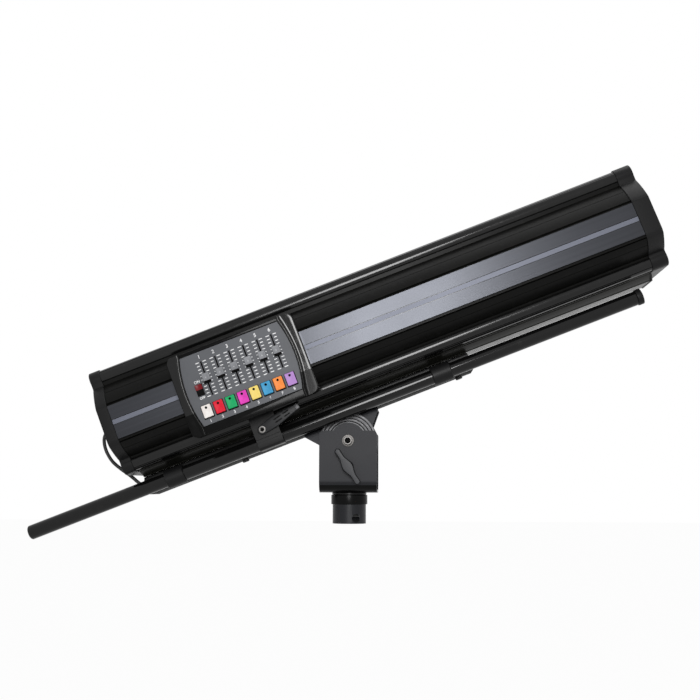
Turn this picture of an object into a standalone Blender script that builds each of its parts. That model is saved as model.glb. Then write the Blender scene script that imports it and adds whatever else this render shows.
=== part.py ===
# A followspot on its yoke, nose raised as it stands in use. Metres, +Z up, +X towards the lens.
# The origin is the centre of the lower end of the stand tube.
# The head is built in its own frame, at the tilt pivot, with x along the barrel and z square to it.
import math

import bmesh
import bpy
from mathutils import Matrix, Vector

# Clearances
GAP = 0.0003
RUNNING = 0.0003

# Stand and pan
TUBE_RADIUS = 0.0354
TUBE_WALL = 0.003
TUBE_LENGTH = 0.052
TUBE_HOLE_RADIUS = 0.0092
TUBE_HOLE_HEIGHT = 0.0115
TUBE_HOLE_TURN = 27.0
COLLAR_BOTTOM = 0.0404
COLLAR_HEIGHT = 0.0197
COLLAR_WALL = 0.0028
SPIGOT_FLANGE = 0.0044
SPIGOT_DEPTH = 0.045
SPIGOT_STUD_RADIUS = 0.010

# Yoke, from its pivot
YOKE_HALF_WIDTH = 0.061
YOKE_HALF_DEPTH = 0.064
YOKE_PLATE = 0.006
YOKE_DROP = 0.1076
YOKE_BEND = 0.026
YOKE_SHOULDER = 0.021
YOKE_HUMP_RADIUS = 0.038
BOLT_RADIUS = 0.006
BOLT_HEAD_RADIUS = 0.009
BOLT_HEAD = 0.012
WASHER_RADIUS = 0.0125
WASHER = 0.0025
NUT_ACROSS = 0.0105
NUT = 0.010
WING_DROP = 0.054
WING_HALF_LENGTH = 0.0432
WING_WAIST = 0.0112
WING_SWELL = 0.025
WING_TURN = -56.5
WING_THICKNESS = 0.009
WING_STUD_RADIUS = 0.005

# Tilt bracket and carrier
TILT = 21.2
BRACKET_HALF_LENGTH = 0.082
DISC_THICKNESS = 0.0044
BRACKET_PLATE = 0.005
DISC_RADIUS = 0.060
BEAM_HEIGHT = 0.0374
BEAM_HALF_WIDTH = 0.048
BEAM_WALL = 0.003
BEAM_REAR = -0.431
BEAM_FRONT = 0.300
FOOT_X = (-0.2218, 0.268)
FOOT_PAD = 0.0015
FOOT_HALF_LENGTH = 0.030
FOOT_HALF_WIDTH = 0.032
FOOT_BOLT_RADIUS = 0.004
FOOT_BOLT_HEAD = 0.0075

# Handle tube and its clamps
HANDLE_Y = -0.0815
HANDLE_RISE = 0.0128
HANDLE_RADIUS = 0.015
HANDLE_WALL = 0.0025
HANDLE_REAR = -0.686
HANDLE_FRONT = 0.664
HANDLE_FLANGE = 0.0122
HANDLE_FLANGE_RADIUS = 0.0167
COLLAR_WALL_RADIUS = 0.0048
REAR_COLLAR_X = (-0.3805, -0.3400)
FRONT_COLLAR_X = (0.2115, 0.2530)
CLAMP_X = (-0.1748, -0.1210)
CLAMP_FACE = -0.106
CLAMP_BELOW = 0.0165
CLAMP_ABOVE = 0.0190
CLAMP_BACK_PLATE = 0.0015
CLAMP_BACK_TOP = 0.0545
CLAMP_PLATE = 0.0045
CLAMP_PLATE_LOW = 0.0065
CLAMP_PLATE_TOP = 0.0378
CLAMP_PIVOT = (-0.1538, 0.0228)
CLAMP_LEVER_LENGTH = 0.0895
CLAMP_LEVER_ROOT = 0.0112
CLAMP_LEVER_TIP = 0.0058
CLAMP_LEVER_DEPTH = 0.008
CLAMP_LEVER_TURN = 13.1
CLAMP_SCREW_RADIUS = 0.0075

# Barrel section, from the barrel's axis
AXIS_HEIGHT = 0.2104
BEAD_RADIUS = 0.0164
BEAD_Z = 0.0944
UPPER_BEAD_Y = 0.098
LOWER_BEAD_Y = 0.088
PANEL_Y = 0.149
PANEL_TOP = 0.0275
PANEL_LOW = -0.0435
UPPER_FACET = (0.112, 0.0745)
UPPER_SHOULDER = (0.1462, 0.0335)
LOWER_SHOULDER = (0.1465, -0.0515)
LOWER_FACET = (0.104, -0.0800)
FACET_CROWN = 0.0022
GROOVE = 0.0020
STRIPE = (-0.0025, -0.0127)
STRIPE_DEPTH = 0.0008
SHELL_WALL = 0.0035
COVER_Z = 0.1028
COVER_WALL = 0.003
TRAY_TOP = -0.1035
TRAY_EDGE_Z = -0.1120
TRAY_Z = -0.1255
TRAY_SHEET = 0.003
TRAY_SLOPE_Y = 0.0635
TRAY_FLAT_Y = 0.0445
KEEL_LIP = 0.004

# Barrel along its length
SHELL_REAR = -0.4314
SHELL_FRONT = 0.7157
CAP_PROUD = 0.0022
CAP_WALL = 0.006
REAR_CAP = 0.0236
FRONT_CAP = 0.0361
FRONT_HOLE_RADIUS = 0.088

# Optics, from the barrel's axis
PLATE = 0.006
LAMP_PLATE_X = -0.200
GATE_PLATE_X = -0.150
FRONT_PLATE_X = 0.600
ROD_RADIUS = 0.006
ROD_Y = 0.080
ROD_Z = -0.078
GATE_RADIUS = 0.034
IRIS_BORE = 0.040
IRIS_RADIUS = 0.060
WHEEL_Y = 0.050
WHEEL_RADIUS = 0.072
WHEEL_HOLE_RADIUS = 0.0135
WHEEL_HOLES = 8
AXLE_RADIUS = 0.004
LENS_RADIUS = 0.066
FRONT_LENS_RADIUS = 0.082
ZOOM_X = 0.100
FOCUS_X = 0.360
CARRIAGE_LENGTH = 0.016
REFLECTOR_RADIUS = 0.080
REFLECTOR_LENGTH = 0.095
REFLECTOR_NECK = 0.018
REFLECTOR_SHEET = 0.0015
LAMP_RADIUS = 0.010
LAMP_BASE = 0.034
LAMP_STEM = 0.022
LAMP_TIP = 0.062
LAMP_LENGTH = 0.073
FAN_Y = 0.045
FAN_RADIUS = 0.042
FAN_BLADES = 7
FAN_LENGTH = 0.018

# Console, from the barrel's axis
CONSOLE_X = (-0.2846, -0.0120)
CONSOLE_Z = (-0.1027, 0.0689)
CONSOLE_BACK = -0.1494
CONSOLE_FACE = -0.1660
CONSOLE_CORNER = 0.014
FACE_PLATE = 0.002
FACE_X = (-0.2565, -0.0445)
FACE_Z = (-0.0858, 0.0610)
FACE_BULGE = 0.0105
CHEEK = 0.0055
FADERS = 6
FADER_X = -0.2179
FADER_PITCH = 0.0304
FADER_Z = 0.0057
FADER_SLOT = (-0.0315, 0.0409)
FADER_SLOT_WIDTH = 0.0032
FADER_KNOB = (0.013, 0.009, 0.022)
BUTTON_NAMES = ("white", "red", "green", "magenta", "yellow", "blue", "orange", "violet")
BUTTON_X = -0.2390
BUTTON_PITCH = 0.0257
BUTTON_Z = -0.0587
BUTTON_SIZE = (0.0195, 0.0255)
BUTTON_RISE = 0.004
ROCKER_AT = (-0.2390, -0.0134)
ROCKER_SIZE = (0.0150, 0.0230)

# Link cable at the rear
CABLE_RADIUS = 0.0037
CABLE_STEP = 0.007
CABLE_ROUTE = (
    (-0.468, -0.020, 0.2095),
    (-0.478, -0.020, 0.2065),
    (-0.4875, -0.020, 0.1975),
    (-0.4925, -0.020, 0.1825),
    (-0.4930, -0.020, 0.1640),
    (-0.4880, -0.020, 0.1420),
    (-0.4770, -0.020, 0.1220),
    (-0.4650, -0.020, 0.1045),
    (-0.4580, -0.020, 0.0930),
    (-0.4520, -0.020, 0.0820),
    (-0.4460, -0.020, 0.0735),
    (-0.4400, -0.020, 0.0675),
    (-0.4340, -0.020, 0.0645),
)
GLAND_RADIUS = 0.008
GLAND_LENGTH = 0.012

TURN_STEPS = 28
PI = math.pi

# What follows from those
BRACKET_HALF_DEPTH = YOKE_HALF_DEPTH - YOKE_PLATE - DISC_THICKNESS - 2 * GAP
BEAM_TOP = AXIS_HEIGHT + TRAY_Z - FOOT_PAD
BEAM_LOW = BEAM_TOP - BEAM_HEIGHT
HANDLE_Z = BEAM_LOW + HANDLE_RISE
COLLAR_RING_RADIUS = HANDLE_RADIUS + COLLAR_WALL_RADIUS


for old in list(bpy.data.objects):
    bpy.data.objects.remove(old, do_unlink=True)


def material(name, colour, roughness, metallic=0.0, alpha=1.0):
    made = bpy.data.materials.new(name)
    made.use_nodes = True
    shader = made.node_tree.nodes["Principled BSDF"]
    shader.inputs["Base Color"].default_value = (*colour, 1.0)
    shader.inputs["Roughness"].default_value = roughness
    shader.inputs["Metallic"].default_value = metallic
    shader.inputs["Alpha"].default_value = alpha
    return made


BLACK_PAINT = material("satin_black_paint", (0.018, 0.018, 0.019), 0.38)
SIDE_PAINT = material("side_panel_paint", (0.030, 0.030, 0.032), 0.32, 0.3)
CAP_PLASTIC = material("cap_plastic", (0.022, 0.022, 0.023), 0.50)
YOKE_PAINT = material("yoke_paint", (0.045, 0.046, 0.050), 0.42)
TUBE_PAINT = material("tube_paint", (0.015, 0.015, 0.016), 0.28)
GLOSS_BLACK = material("gloss_black", (0.010, 0.010, 0.011), 0.12)
FACE_GREY = material("faceplate_grey", (0.115, 0.120, 0.135), 0.45)
KNOB_GREY = material("knob_grey", (0.30, 0.31, 0.33), 0.45)
ZINC = material("zinc", (0.62, 0.63, 0.65), 0.30, 1.0)
STEEL = material("bright_steel", (0.56, 0.57, 0.58), 0.25, 1.0)
BARE_ALUMINIUM = material("bare_aluminium", (0.60, 0.61, 0.62), 0.40, 1.0)
REFLECTOR_METAL = material("reflector_metal", (0.85, 0.85, 0.84), 0.08, 1.0)
GLASS = material("glass", (0.90, 0.94, 0.95), 0.03, 0.0, 0.35)
RUBBER = material("cable_rubber", (0.014, 0.014, 0.014), 0.60)
BUTTON_COLOURS = {
    "white": (0.78, 0.76, 0.74),
    "red": (0.72, 0.02, 0.03),
    "green": (0.02, 0.42, 0.12),
    "magenta": (0.62, 0.06, 0.52),
    "yellow": (0.86, 0.62, 0.04),
    "blue": (0.03, 0.27, 0.62),
    "orange": (0.85, 0.33, 0.03),
    "violet": (0.33, 0.09, 0.55),
}


def empty(name, place, turn=(0.0, 0.0, 0.0), parent=None):
    made = bpy.data.objects.new(name, None)
    made.location = place
    made.rotation_euler = turn
    made.parent = parent
    bpy.context.scene.collection.objects.link(made)
    return made


def finish(name, bm, paint, parent=None, at=(0.0, 0.0, 0.0)):
    # Puts a bmesh, drawn in its parent's frame, into an object whose origin is at its joint's axis.
    bmesh.ops.translate(bm, verts=bm.verts, vec=-Vector(at))
    bmesh.ops.recalc_face_normals(bm, faces=bm.faces)
    mesh = bpy.data.meshes.new(name)
    bm.to_mesh(mesh)
    bm.free()
    mesh.shade_smooth()
    mesh.set_sharp_from_angle(angle=math.radians(28))
    mesh.materials.append(paint)
    made = bpy.data.objects.new(name, mesh)
    made.location = at
    made.parent = parent
    bpy.context.scene.collection.objects.link(made)
    return made


def helper(name, bm, parent=None):
    # A shape that cuts or joins another and isn't a piece itself.
    made = finish(name, bm, BLACK_PAINT, parent)
    made.hide_render = True
    made.display_type = "WIRE"
    return made


def combine(target, tool, operation="DIFFERENCE"):
    step = target.modifiers.new(tool.name, "BOOLEAN")
    step.operation = operation
    step.solver = "EXACT"
    step.object = tool


def round_edges(target, width, segments=2, angle=50.0):
    step = target.modifiers.new("rounded_edges", "BEVEL")
    step.width = width
    step.segments = segments
    step.limit_method = "ANGLE"
    step.angle_limit = math.radians(angle)


def add_box(bm, low, high):
    size = Vector(high) - Vector(low)
    middle = (Vector(high) + Vector(low)) / 2
    place = Matrix.Translation(middle) @ Matrix.Diagonal((*size, 1.0))
    bmesh.ops.create_cube(bm, size=1.0, matrix=place)


def box(low, high):
    bm = bmesh.new()
    add_box(bm, low, high)
    return bm


def toward(axis):
    return Vector((0, 0, 1)).rotation_difference(Vector(axis)).to_matrix().to_4x4()


def add_cylinder(bm, start, end, radius, sides=TURN_STEPS):
    start = Vector(start)
    end = Vector(end)
    place = Matrix.Translation((start + end) / 2) @ toward(end - start)
    bmesh.ops.create_cone(
        bm,
        cap_ends=True,
        segments=sides,
        radius1=radius,
        radius2=radius,
        depth=(end - start).length,
        matrix=place,
    )


def cylinder(start, end, radius, sides=TURN_STEPS):
    bm = bmesh.new()
    add_cylinder(bm, start, end, radius, sides)
    return bm


def in_plane(axis, a, b, along):
    # A section point (a, b) at a distance along its axis: (y, z) on X, (x, z) on Y, (x, y) on Z.
    if axis == "X":
        return Vector((along, a, b))
    if axis == "Y":
        return Vector((a, along, b))
    return Vector((a, b, along))


def add_prism(bm, points, axis, start, end):
    corners = [bm.verts.new(in_plane(axis, a, b, start)) for a, b in points]
    face = bm.faces.new(corners)
    grown = bmesh.ops.extrude_face_region(bm, geom=[face])
    moved = [item for item in grown["geom"] if isinstance(item, bmesh.types.BMVert)]
    bmesh.ops.translate(bm, verts=moved, vec=in_plane(axis, 0.0, 0.0, end - start))


def prism(points, axis, start, end):
    bm = bmesh.new()
    add_prism(bm, points, axis, start, end)
    return bm


def turned(profile, axis="X", centre=(0.0, 0.0, 0.0), closed=False, steps=TURN_STEPS):
    # A profile of (radius, distance along the axis) swept once round the axis.
    bm = bmesh.new()
    if axis == "X":
        drawn = [Vector((along, 0.0, radius)) for radius, along in profile]
        direction = (1, 0, 0)
    elif axis == "Y":
        drawn = [Vector((radius, along, 0.0)) for radius, along in profile]
        direction = (0, 1, 0)
    else:
        drawn = [Vector((radius, 0.0, along)) for radius, along in profile]
        direction = (0, 0, 1)
    points = [bm.verts.new(place) for place in drawn]
    pairs = list(zip(points, points[1:]))
    if closed:
        pairs.append((points[-1], points[0]))
    edges = [bm.edges.new(pair) for pair in pairs]
    bmesh.ops.spin(
        bm,
        geom=points + edges,
        cent=(0, 0, 0),
        axis=direction,
        angle=2 * PI,
        steps=steps,
        use_merge=True,
    )
    bmesh.ops.remove_doubles(bm, verts=bm.verts, dist=1e-6)
    bmesh.ops.translate(bm, verts=bm.verts, vec=centre)
    return bm


def ring(inner, outer, start, end, axis="X", centre=(0.0, 0.0, 0.0), steps=TURN_STEPS):
    profile = [(inner, start), (outer, start), (outer, end), (inner, end)]
    return turned(profile, axis, centre, True, steps)


def arc(centre, radius, start, end, steps):
    found = []
    for index in range(steps + 1):
        angle = math.radians(start + (end - start) * index / steps)
        found.append((centre[0] + radius * math.cos(angle), centre[1] + radius * math.sin(angle)))
    return found


def rounded_rectangle(low, high, radius, steps=4):
    corners = (
        ((high[0] - radius, high[1] - radius), 0),
        ((low[0] + radius, high[1] - radius), 90),
        ((low[0] + radius, low[1] + radius), 180),
        ((high[0] - radius, low[1] + radius), 270),
    )
    found = []
    for centre, start in corners:
        found += arc(centre, radius, start, start + 90, steps)
    return found


def moved_in(points, distance, closed=False):
    # The line moved square to itself by a distance, to the right of its direction, with mitred corners.
    count = len(points)
    found = []
    for index, point in enumerate(points):
        before = points[index - 1] if closed or index else None
        after = points[(index + 1) % count] if closed or index < count - 1 else None
        normals = []
        for first, second in ((before, point), (point, after)):
            if first is None or second is None:
                continue
            run = Vector(second) - Vector(first)
            if run.length > 1e-7:
                normals.append(Vector((run.y, -run.x)).normalized())
        middle = sum(normals, Vector((0.0, 0.0))).normalized()
        reach = distance / max(0.5, middle.dot(normals[0]))
        found.append((point[0] + middle.x * reach, point[1] + middle.y * reach))
    return found


def facet(start, end, bow, steps=4):
    # A gently crowned run between two points of the section.
    found = []
    run = Vector(end) - Vector(start)
    out = Vector((-run.y, run.x)).normalized()
    for index in range(steps + 1):
        share = index / steps
        place = Vector(start) + run * share + out * bow * 4 * share * (1 - share)
        found.append((place.x, place.y))
    return found


def plain_side():
    # One side of the barrel without its grooves, from the upper bead's top to the lower bead's foot.
    found = arc((UPPER_BEAD_Y, BEAD_Z), BEAD_RADIUS, 90, -30, 7)
    found += facet(UPPER_FACET, UPPER_SHOULDER, FACET_CROWN)
    found += [(PANEL_Y, PANEL_TOP), (PANEL_Y, PANEL_LOW)]
    found += facet(LOWER_SHOULDER, LOWER_FACET, FACET_CROWN)
    found += arc((LOWER_BEAD_Y, -BEAD_Z), BEAD_RADIUS, 30, -90, 7)
    return found


def grooved_side():
    # The same side as the eye sees it, with the grooves between its mouldings and the recessed stripe.
    bead = arc((UPPER_BEAD_Y, BEAD_Z), BEAD_RADIUS, 150, -30, 10)
    foot = arc((LOWER_BEAD_Y, -BEAD_Z), BEAD_RADIUS, 30, -150, 10)
    edge = bead[-1]
    low_edge = foot[0]
    found = bead
    found += [(edge[0] - GROOVE, edge[1] - 0.002), (UPPER_FACET[0] - GROOVE, UPPER_FACET[1] + 0.002)]
    found += facet(UPPER_FACET, UPPER_SHOULDER, FACET_CROWN)
    found += [(UPPER_SHOULDER[0] - GROOVE, UPPER_SHOULDER[1] - 0.0022)]
    found += [(PANEL_Y - GROOVE, PANEL_TOP + 0.0008), (PANEL_Y, PANEL_TOP)]
    found += [(PANEL_Y, STRIPE[0]), (PANEL_Y - STRIPE_DEPTH, STRIPE[0] - 0.0004)]
    found += [(PANEL_Y - STRIPE_DEPTH, STRIPE[1] + 0.0004), (PANEL_Y, STRIPE[1])]
    found += [(PANEL_Y, PANEL_LOW), (PANEL_Y - GROOVE, PANEL_LOW - 0.0008)]
    found += [(PANEL_Y - GROOVE, PANEL_LOW - 0.0022), (PANEL_Y - 0.0002, PANEL_LOW - 0.0030)]
    found += [(PANEL_Y - 0.0002, PANEL_LOW - 0.0048), (PANEL_Y - GROOVE, PANEL_LOW - 0.0056)]
    found += [(LOWER_SHOULDER[0] - GROOVE, LOWER_SHOULDER[1] + 0.0012)]
    found += facet(LOWER_SHOULDER, LOWER_FACET, FACET_CROWN)
    found += [(LOWER_FACET[0] - GROOVE, LOWER_FACET[1] - 0.0010)]
    found += [(low_edge[0] - GROOVE, low_edge[1] + 0.0010)]
    return found + foot


def shell_section():
    outer = grooved_side()
    wall = SHELL_WALL + GROOVE * 0.5
    bead = arc((UPPER_BEAD_Y, BEAD_Z), BEAD_RADIUS - wall, 150, -20, 5)
    foot = arc((LOWER_BEAD_Y, -BEAD_Z), BEAD_RADIUS - wall, 20, -150, 5)
    middle = facet(UPPER_FACET, UPPER_SHOULDER, FACET_CROWN, 2)
    middle += [(PANEL_Y, PANEL_TOP), (PANEL_Y, PANEL_LOW)]
    middle += facet(LOWER_SHOULDER, LOWER_FACET, FACET_CROWN, 2)
    inner = bead + moved_in(middle, wall) + foot
    return outer + inner[::-1]


def whole_outline(growth):
    # The barrel's closed outline, anticlockwise, grown outwards (or drawn in where growth is negative).
    side = moved_in(plain_side(), -growth)
    mirrored = [(-y, z) for y, z in side]
    return mirrored + side[::-1]


def mirrored(points):
    return [(-y, z) for y, z in points][::-1]


pivot_height = COLLAR_BOTTOM + COLLAR_HEIGHT + GAP + SPIGOT_FLANGE + GAP + YOKE_DROP
pan_axis = empty("pan_axis", (0, 0, 0))
yoke_frame = empty("yoke_frame", (0, 0, pivot_height), parent=pan_axis)
head_frame = empty("head_frame", (0, 0, 0), (0, -math.radians(TILT), 0), yoke_frame)
barrel_frame = empty("barrel_frame", (0, 0, AXIS_HEIGHT), parent=head_frame)


def build_stand():
    inner = TUBE_RADIUS - TUBE_WALL
    tube = finish("stand_tube", ring(inner, TUBE_RADIUS, 0.0, TUBE_LENGTH, "Z"), TUBE_PAINT)
    turn = math.radians(TUBE_HOLE_TURN)
    away = Vector((math.sin(turn), -math.cos(turn), 0.0))
    level = Vector((0, 0, TUBE_HOLE_HEIGHT))
    hole = cylinder(level, level + away * TUBE_RADIUS * 1.5, TUBE_HOLE_RADIUS, 24)
    combine(tube, helper("tube_hole", hole))
    start = COLLAR_BOTTOM
    low = TUBE_RADIUS + GAP
    outer = low + COLLAR_WALL
    lip = TUBE_RADIUS - TUBE_WALL + 2 * GAP
    top = start + COLLAR_HEIGHT
    profile = [
        (low, start),
        (outer - 0.001, start),
        (outer, start + 0.001),
        (outer, top - 0.001),
        (outer - 0.001, top),
        (lip, top),
        (lip, TUBE_LENGTH + GAP),
        (low, TUBE_LENGTH + GAP),
    ]
    finish("stand_collar", turned(profile, "Z", closed=True), GLOSS_BLACK)


def build_spigot():
    top = COLLAR_BOTTOM + COLLAR_HEIGHT + GAP
    shaft = TUBE_RADIUS - TUBE_WALL - RUNNING
    plate_top = top + SPIGOT_FLANGE + GAP + YOKE_PLATE
    profile = [
        (0.0, top - SPIGOT_DEPTH),
        (shaft - 0.002, top - SPIGOT_DEPTH),
        (shaft, top - SPIGOT_DEPTH + 0.002),
        (shaft, top),
        (TUBE_RADIUS + 0.001, top),
        (TUBE_RADIUS + 0.001, top + SPIGOT_FLANGE),
        (SPIGOT_STUD_RADIUS, top + SPIGOT_FLANGE),
        (SPIGOT_STUD_RADIUS, plate_top + NUT + 0.002),
        (SPIGOT_STUD_RADIUS - 0.001, plate_top + NUT + 0.003),
        (0.0, plate_top + NUT + 0.003),
    ]
    finish("pan_spigot", turned(profile, "Z"), BLACK_PAINT, pan_axis)


def channel(half_depth, plate, bend, low, high):
    # A folded U of plate: (y, z) round its outside, then back along its inside.
    steps = 6
    outer = [(half_depth, high)]
    outer += arc((half_depth - bend, low + bend), bend, 0, -90, steps)
    outer += arc((-half_depth + bend, low + bend), bend, 270, 180, steps)
    outer += [(-half_depth, high)]
    inner_bend = bend - plate
    inner = [(half_depth - plate, high)]
    inner += arc((half_depth - bend, low + bend), inner_bend, 0, -90, steps)
    inner += arc((-half_depth + bend, low + bend), inner_bend, 270, 180, steps)
    inner += [(-half_depth + plate, high)]
    return outer + inner[::-1]


def yoke_outline():
    half = YOKE_HALF_WIDTH
    corner = 0.008
    low = -YOKE_DROP - 0.02
    found = [(-half, low), (half, low)]
    found += arc((half - corner, YOKE_SHOULDER - corner), corner, 0, 90, 3)
    meet = math.degrees(math.asin(YOKE_SHOULDER / YOKE_HUMP_RADIUS))
    found += arc((0, 0), YOKE_HUMP_RADIUS, meet, 180 - meet, 14)
    found += arc((-half + corner, YOKE_SHOULDER - corner), corner, 90, 180, 3)
    return found


def build_yoke():
    depth = YOKE_HALF_DEPTH
    section = channel(depth, YOKE_PLATE, YOKE_BEND, -YOKE_DROP, YOKE_HUMP_RADIUS + 0.01)
    half = YOKE_HALF_WIDTH + 0.01
    yoke = finish("yoke_bracket", prism(section, "X", -half, half), YOKE_PAINT, yoke_frame)
    outline = prism(yoke_outline(), "Y", -depth - 0.01, depth + 0.01)
    combine(yoke, helper("yoke_outline", outline, yoke_frame), "INTERSECT")
    holes = cylinder((0, -depth - 0.01, 0), (0, depth + 0.01, 0), BOLT_RADIUS + GAP, 24)
    stud = WING_STUD_RADIUS + GAP
    add_cylinder(holes, (0, -depth - 0.01, -WING_DROP), (0, -depth + 0.015, -WING_DROP), stud, 20)
    below = -YOKE_DROP - 0.01
    above = -YOKE_DROP + 0.02
    add_cylinder(holes, (0, 0, below), (0, 0, above), SPIGOT_STUD_RADIUS + GAP, 24)
    combine(yoke, helper("yoke_holes", holes, yoke_frame))


def hexagon(radius):
    return arc((0, 0), radius, 0, 300, 5)


def build_pivot():
    seat = YOKE_HALF_DEPTH + GAP
    flange = seat + WASHER
    head = flange + BOLT_HEAD
    tip = flange + NUT + 0.003
    profile = [
        (0.0, -head),
        (BOLT_HEAD_RADIUS - 0.001, -head),
        (BOLT_HEAD_RADIUS, -head + 0.001),
        (BOLT_HEAD_RADIUS, -flange),
        (WASHER_RADIUS, -flange),
        (WASHER_RADIUS, -seat),
        (BOLT_RADIUS, -seat),
        (BOLT_RADIUS, tip - 0.001),
        (BOLT_RADIUS - 0.001, tip),
        (0.0, tip),
    ]
    bolt = finish("pivot_bolt", turned(profile, "Y", steps=28), STEEL, yoke_frame)
    socket = prism(hexagon(0.0056), "Y", -head - 0.002, -head + 0.006)
    combine(bolt, helper("bolt_socket", socket, yoke_frame))

    nut = finish("pivot_nut", prism(hexagon(NUT_ACROSS), "Y", flange - 0.0005, flange + NUT), ZINC, yoke_frame)
    disc = cylinder((0, seat, 0), (0, flange, 0), WASHER_RADIUS, 28)
    combine(nut, helper("pivot_nut_flange", disc, yoke_frame), "UNION")
    bore = cylinder((0, seat - 0.01, 0), (0, flange + NUT + 0.01, 0), BOLT_RADIUS + GAP, 24)
    combine(nut, helper("pivot_nut_bore", bore, yoke_frame))

    floor = -YOKE_DROP + YOKE_PLATE + GAP
    big = prism(hexagon(SPIGOT_STUD_RADIUS * 1.75), "Z", floor, floor + NUT)
    made = finish("spigot_nut", big, ZINC, yoke_frame)
    stud = SPIGOT_STUD_RADIUS + GAP
    hole = cylinder((0, 0, floor - 0.01), (0, 0, floor + NUT + 0.01), stud, 24)
    combine(made, helper("spigot_nut_bore", hole, yoke_frame))


def wing_outline():
    # A two-ended lever: round ends, and a body that swells smoothly from the arms to its middle.
    end = 0.0062
    reach = WING_HALF_LENGTH - end
    half = arc((reach, 0), end, -80, 80, 4)
    for share in (1.0, 0.75, 0.5, 0.25, 0.0):
        swell = 0.5 + 0.5 * math.cos(PI * share)
        half.append((WING_SWELL * share, end * 0.9 + (WING_WAIST - end * 0.9) * swell))
    for share in (0.25, 0.5, 0.75, 1.0):
        swell = 0.5 + 0.5 * math.cos(PI * share)
        half.append((-WING_SWELL * share, end * 0.9 + (WING_WAIST - end * 0.9) * swell))
    return half + [(-x, -z) for x, z in half]


def build_wing_lever():
    turn = math.radians(WING_TURN)
    flat = []
    for x, z in wing_outline():
        flat.append((x * math.cos(turn) - z * math.sin(turn), x * math.sin(turn) + z * math.cos(turn)))
    flat = [(x, z - WING_DROP) for x, z in flat]
    face = -YOKE_HALF_DEPTH - GAP
    hub = 0.011
    wings = prism(flat, "Y", face - hub - WING_THICKNESS, face - hub)
    at = (0, 0, -WING_DROP)
    lever = finish("wing_lever", wings, YOKE_PAINT, yoke_frame, at)
    round_edges(lever, 0.0018)
    inside = -BRACKET_HALF_DEPTH - GAP - DISC_THICKNESS - GAP
    stem = turned(
        [
            (0.0, face - hub - WING_THICKNESS * 0.5),
            (0.010, face - hub - WING_THICKNESS * 0.5),
            (0.0125, face),
            (WING_STUD_RADIUS, face),
            (WING_STUD_RADIUS, inside),
            (0.0, inside),
        ],
        "Y",
        at,
        steps=28,
    )
    combine(lever, helper("wing_hub", stem, yoke_frame), "UNION")


def bracket_outline():
    # Wide where it meets the beam, round about the pivot below.
    top = BEAM_LOW - GAP
    half = BRACKET_HALF_LENGTH
    radius = DISC_RADIUS - 0.002
    side = [(half, top + 0.01), (half, top - 0.007)]
    round_end = arc((0, 0), radius, 10, -190, 20)
    return side + round_end + [(-half, top - 0.007), (-half, top + 0.01)]


def build_bracket():
    depth = BRACKET_HALF_DEPTH
    top = BEAM_LOW - GAP
    upright = channel(depth, BRACKET_PLATE, 0.009, -top, DISC_RADIUS + 0.01)
    section = [(y, -z) for y, z in upright]
    half = BRACKET_HALF_LENGTH + 0.01
    bracket = finish("tilt_bracket", prism(section, "X", -half, half), YOKE_PAINT, head_frame)
    outline = prism(bracket_outline(), "Y", -depth - 0.01, depth + 0.01)
    combine(bracket, helper("bracket_outline", outline, head_frame), "INTERSECT")
    hole = cylinder((0, -depth - 0.01, 0), (0, depth + 0.01, 0), BOLT_RADIUS + RUNNING, 24)
    combine(bracket, helper("bracket_hole", hole, head_frame))

    start = depth + GAP
    end = start + DISC_THICKNESS
    bore = BOLT_RADIUS + RUNNING
    for name, low, high in (("near_friction_disc", -end, -start), ("far_friction_disc", start, end)):
        disc = ring(bore, DISC_RADIUS, low, high, "Y", steps=32)
        finish(name, disc, BARE_ALUMINIUM, head_frame)


def build_beam():
    top = BEAM_TOP
    half = BEAM_HALF_WIDTH
    section = rounded_rectangle((-half, BEAM_LOW), (half, top), 0.004, 2)
    beam = finish("rail_beam", prism(section, "X", BEAM_REAR, BEAM_FRONT), BLACK_PAINT, head_frame)
    low = (-half + BEAM_WALL, BEAM_LOW + BEAM_WALL)
    high = (half - BEAM_WALL, top - BEAM_WALL)
    inside = prism(rounded_rectangle(low, high, 0.002, 1), "X", BEAM_REAR - 0.01, BEAM_FRONT + 0.01)
    combine(beam, helper("beam_inside", inside, head_frame))
    holes = bmesh.new()
    for x in FOOT_X:
        add_cylinder(holes, (x, 0, BEAM_LOW - 0.01), (x, 0, top + 0.01), FOOT_BOLT_RADIUS + GAP, 16)
    combine(beam, helper("beam_holes", holes, head_frame))

    under = BEAM_LOW - GAP
    seat = BEAM_TOP + FOOT_PAD
    for name, x in zip(("rear_beam_bolt", "front_beam_bolt"), FOOT_X):
        profile = [
            (0.0, under - 0.006),
            (FOOT_BOLT_HEAD - 0.001, under - 0.006),
            (FOOT_BOLT_HEAD, under - 0.005),
            (FOOT_BOLT_HEAD, under),
            (FOOT_BOLT_RADIUS, under),
            (FOOT_BOLT_RADIUS, seat),
            (0.0, seat),
        ]
        finish(name, turned(profile, "Z", (x, 0, 0), steps=20), ZINC, head_frame)


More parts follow.
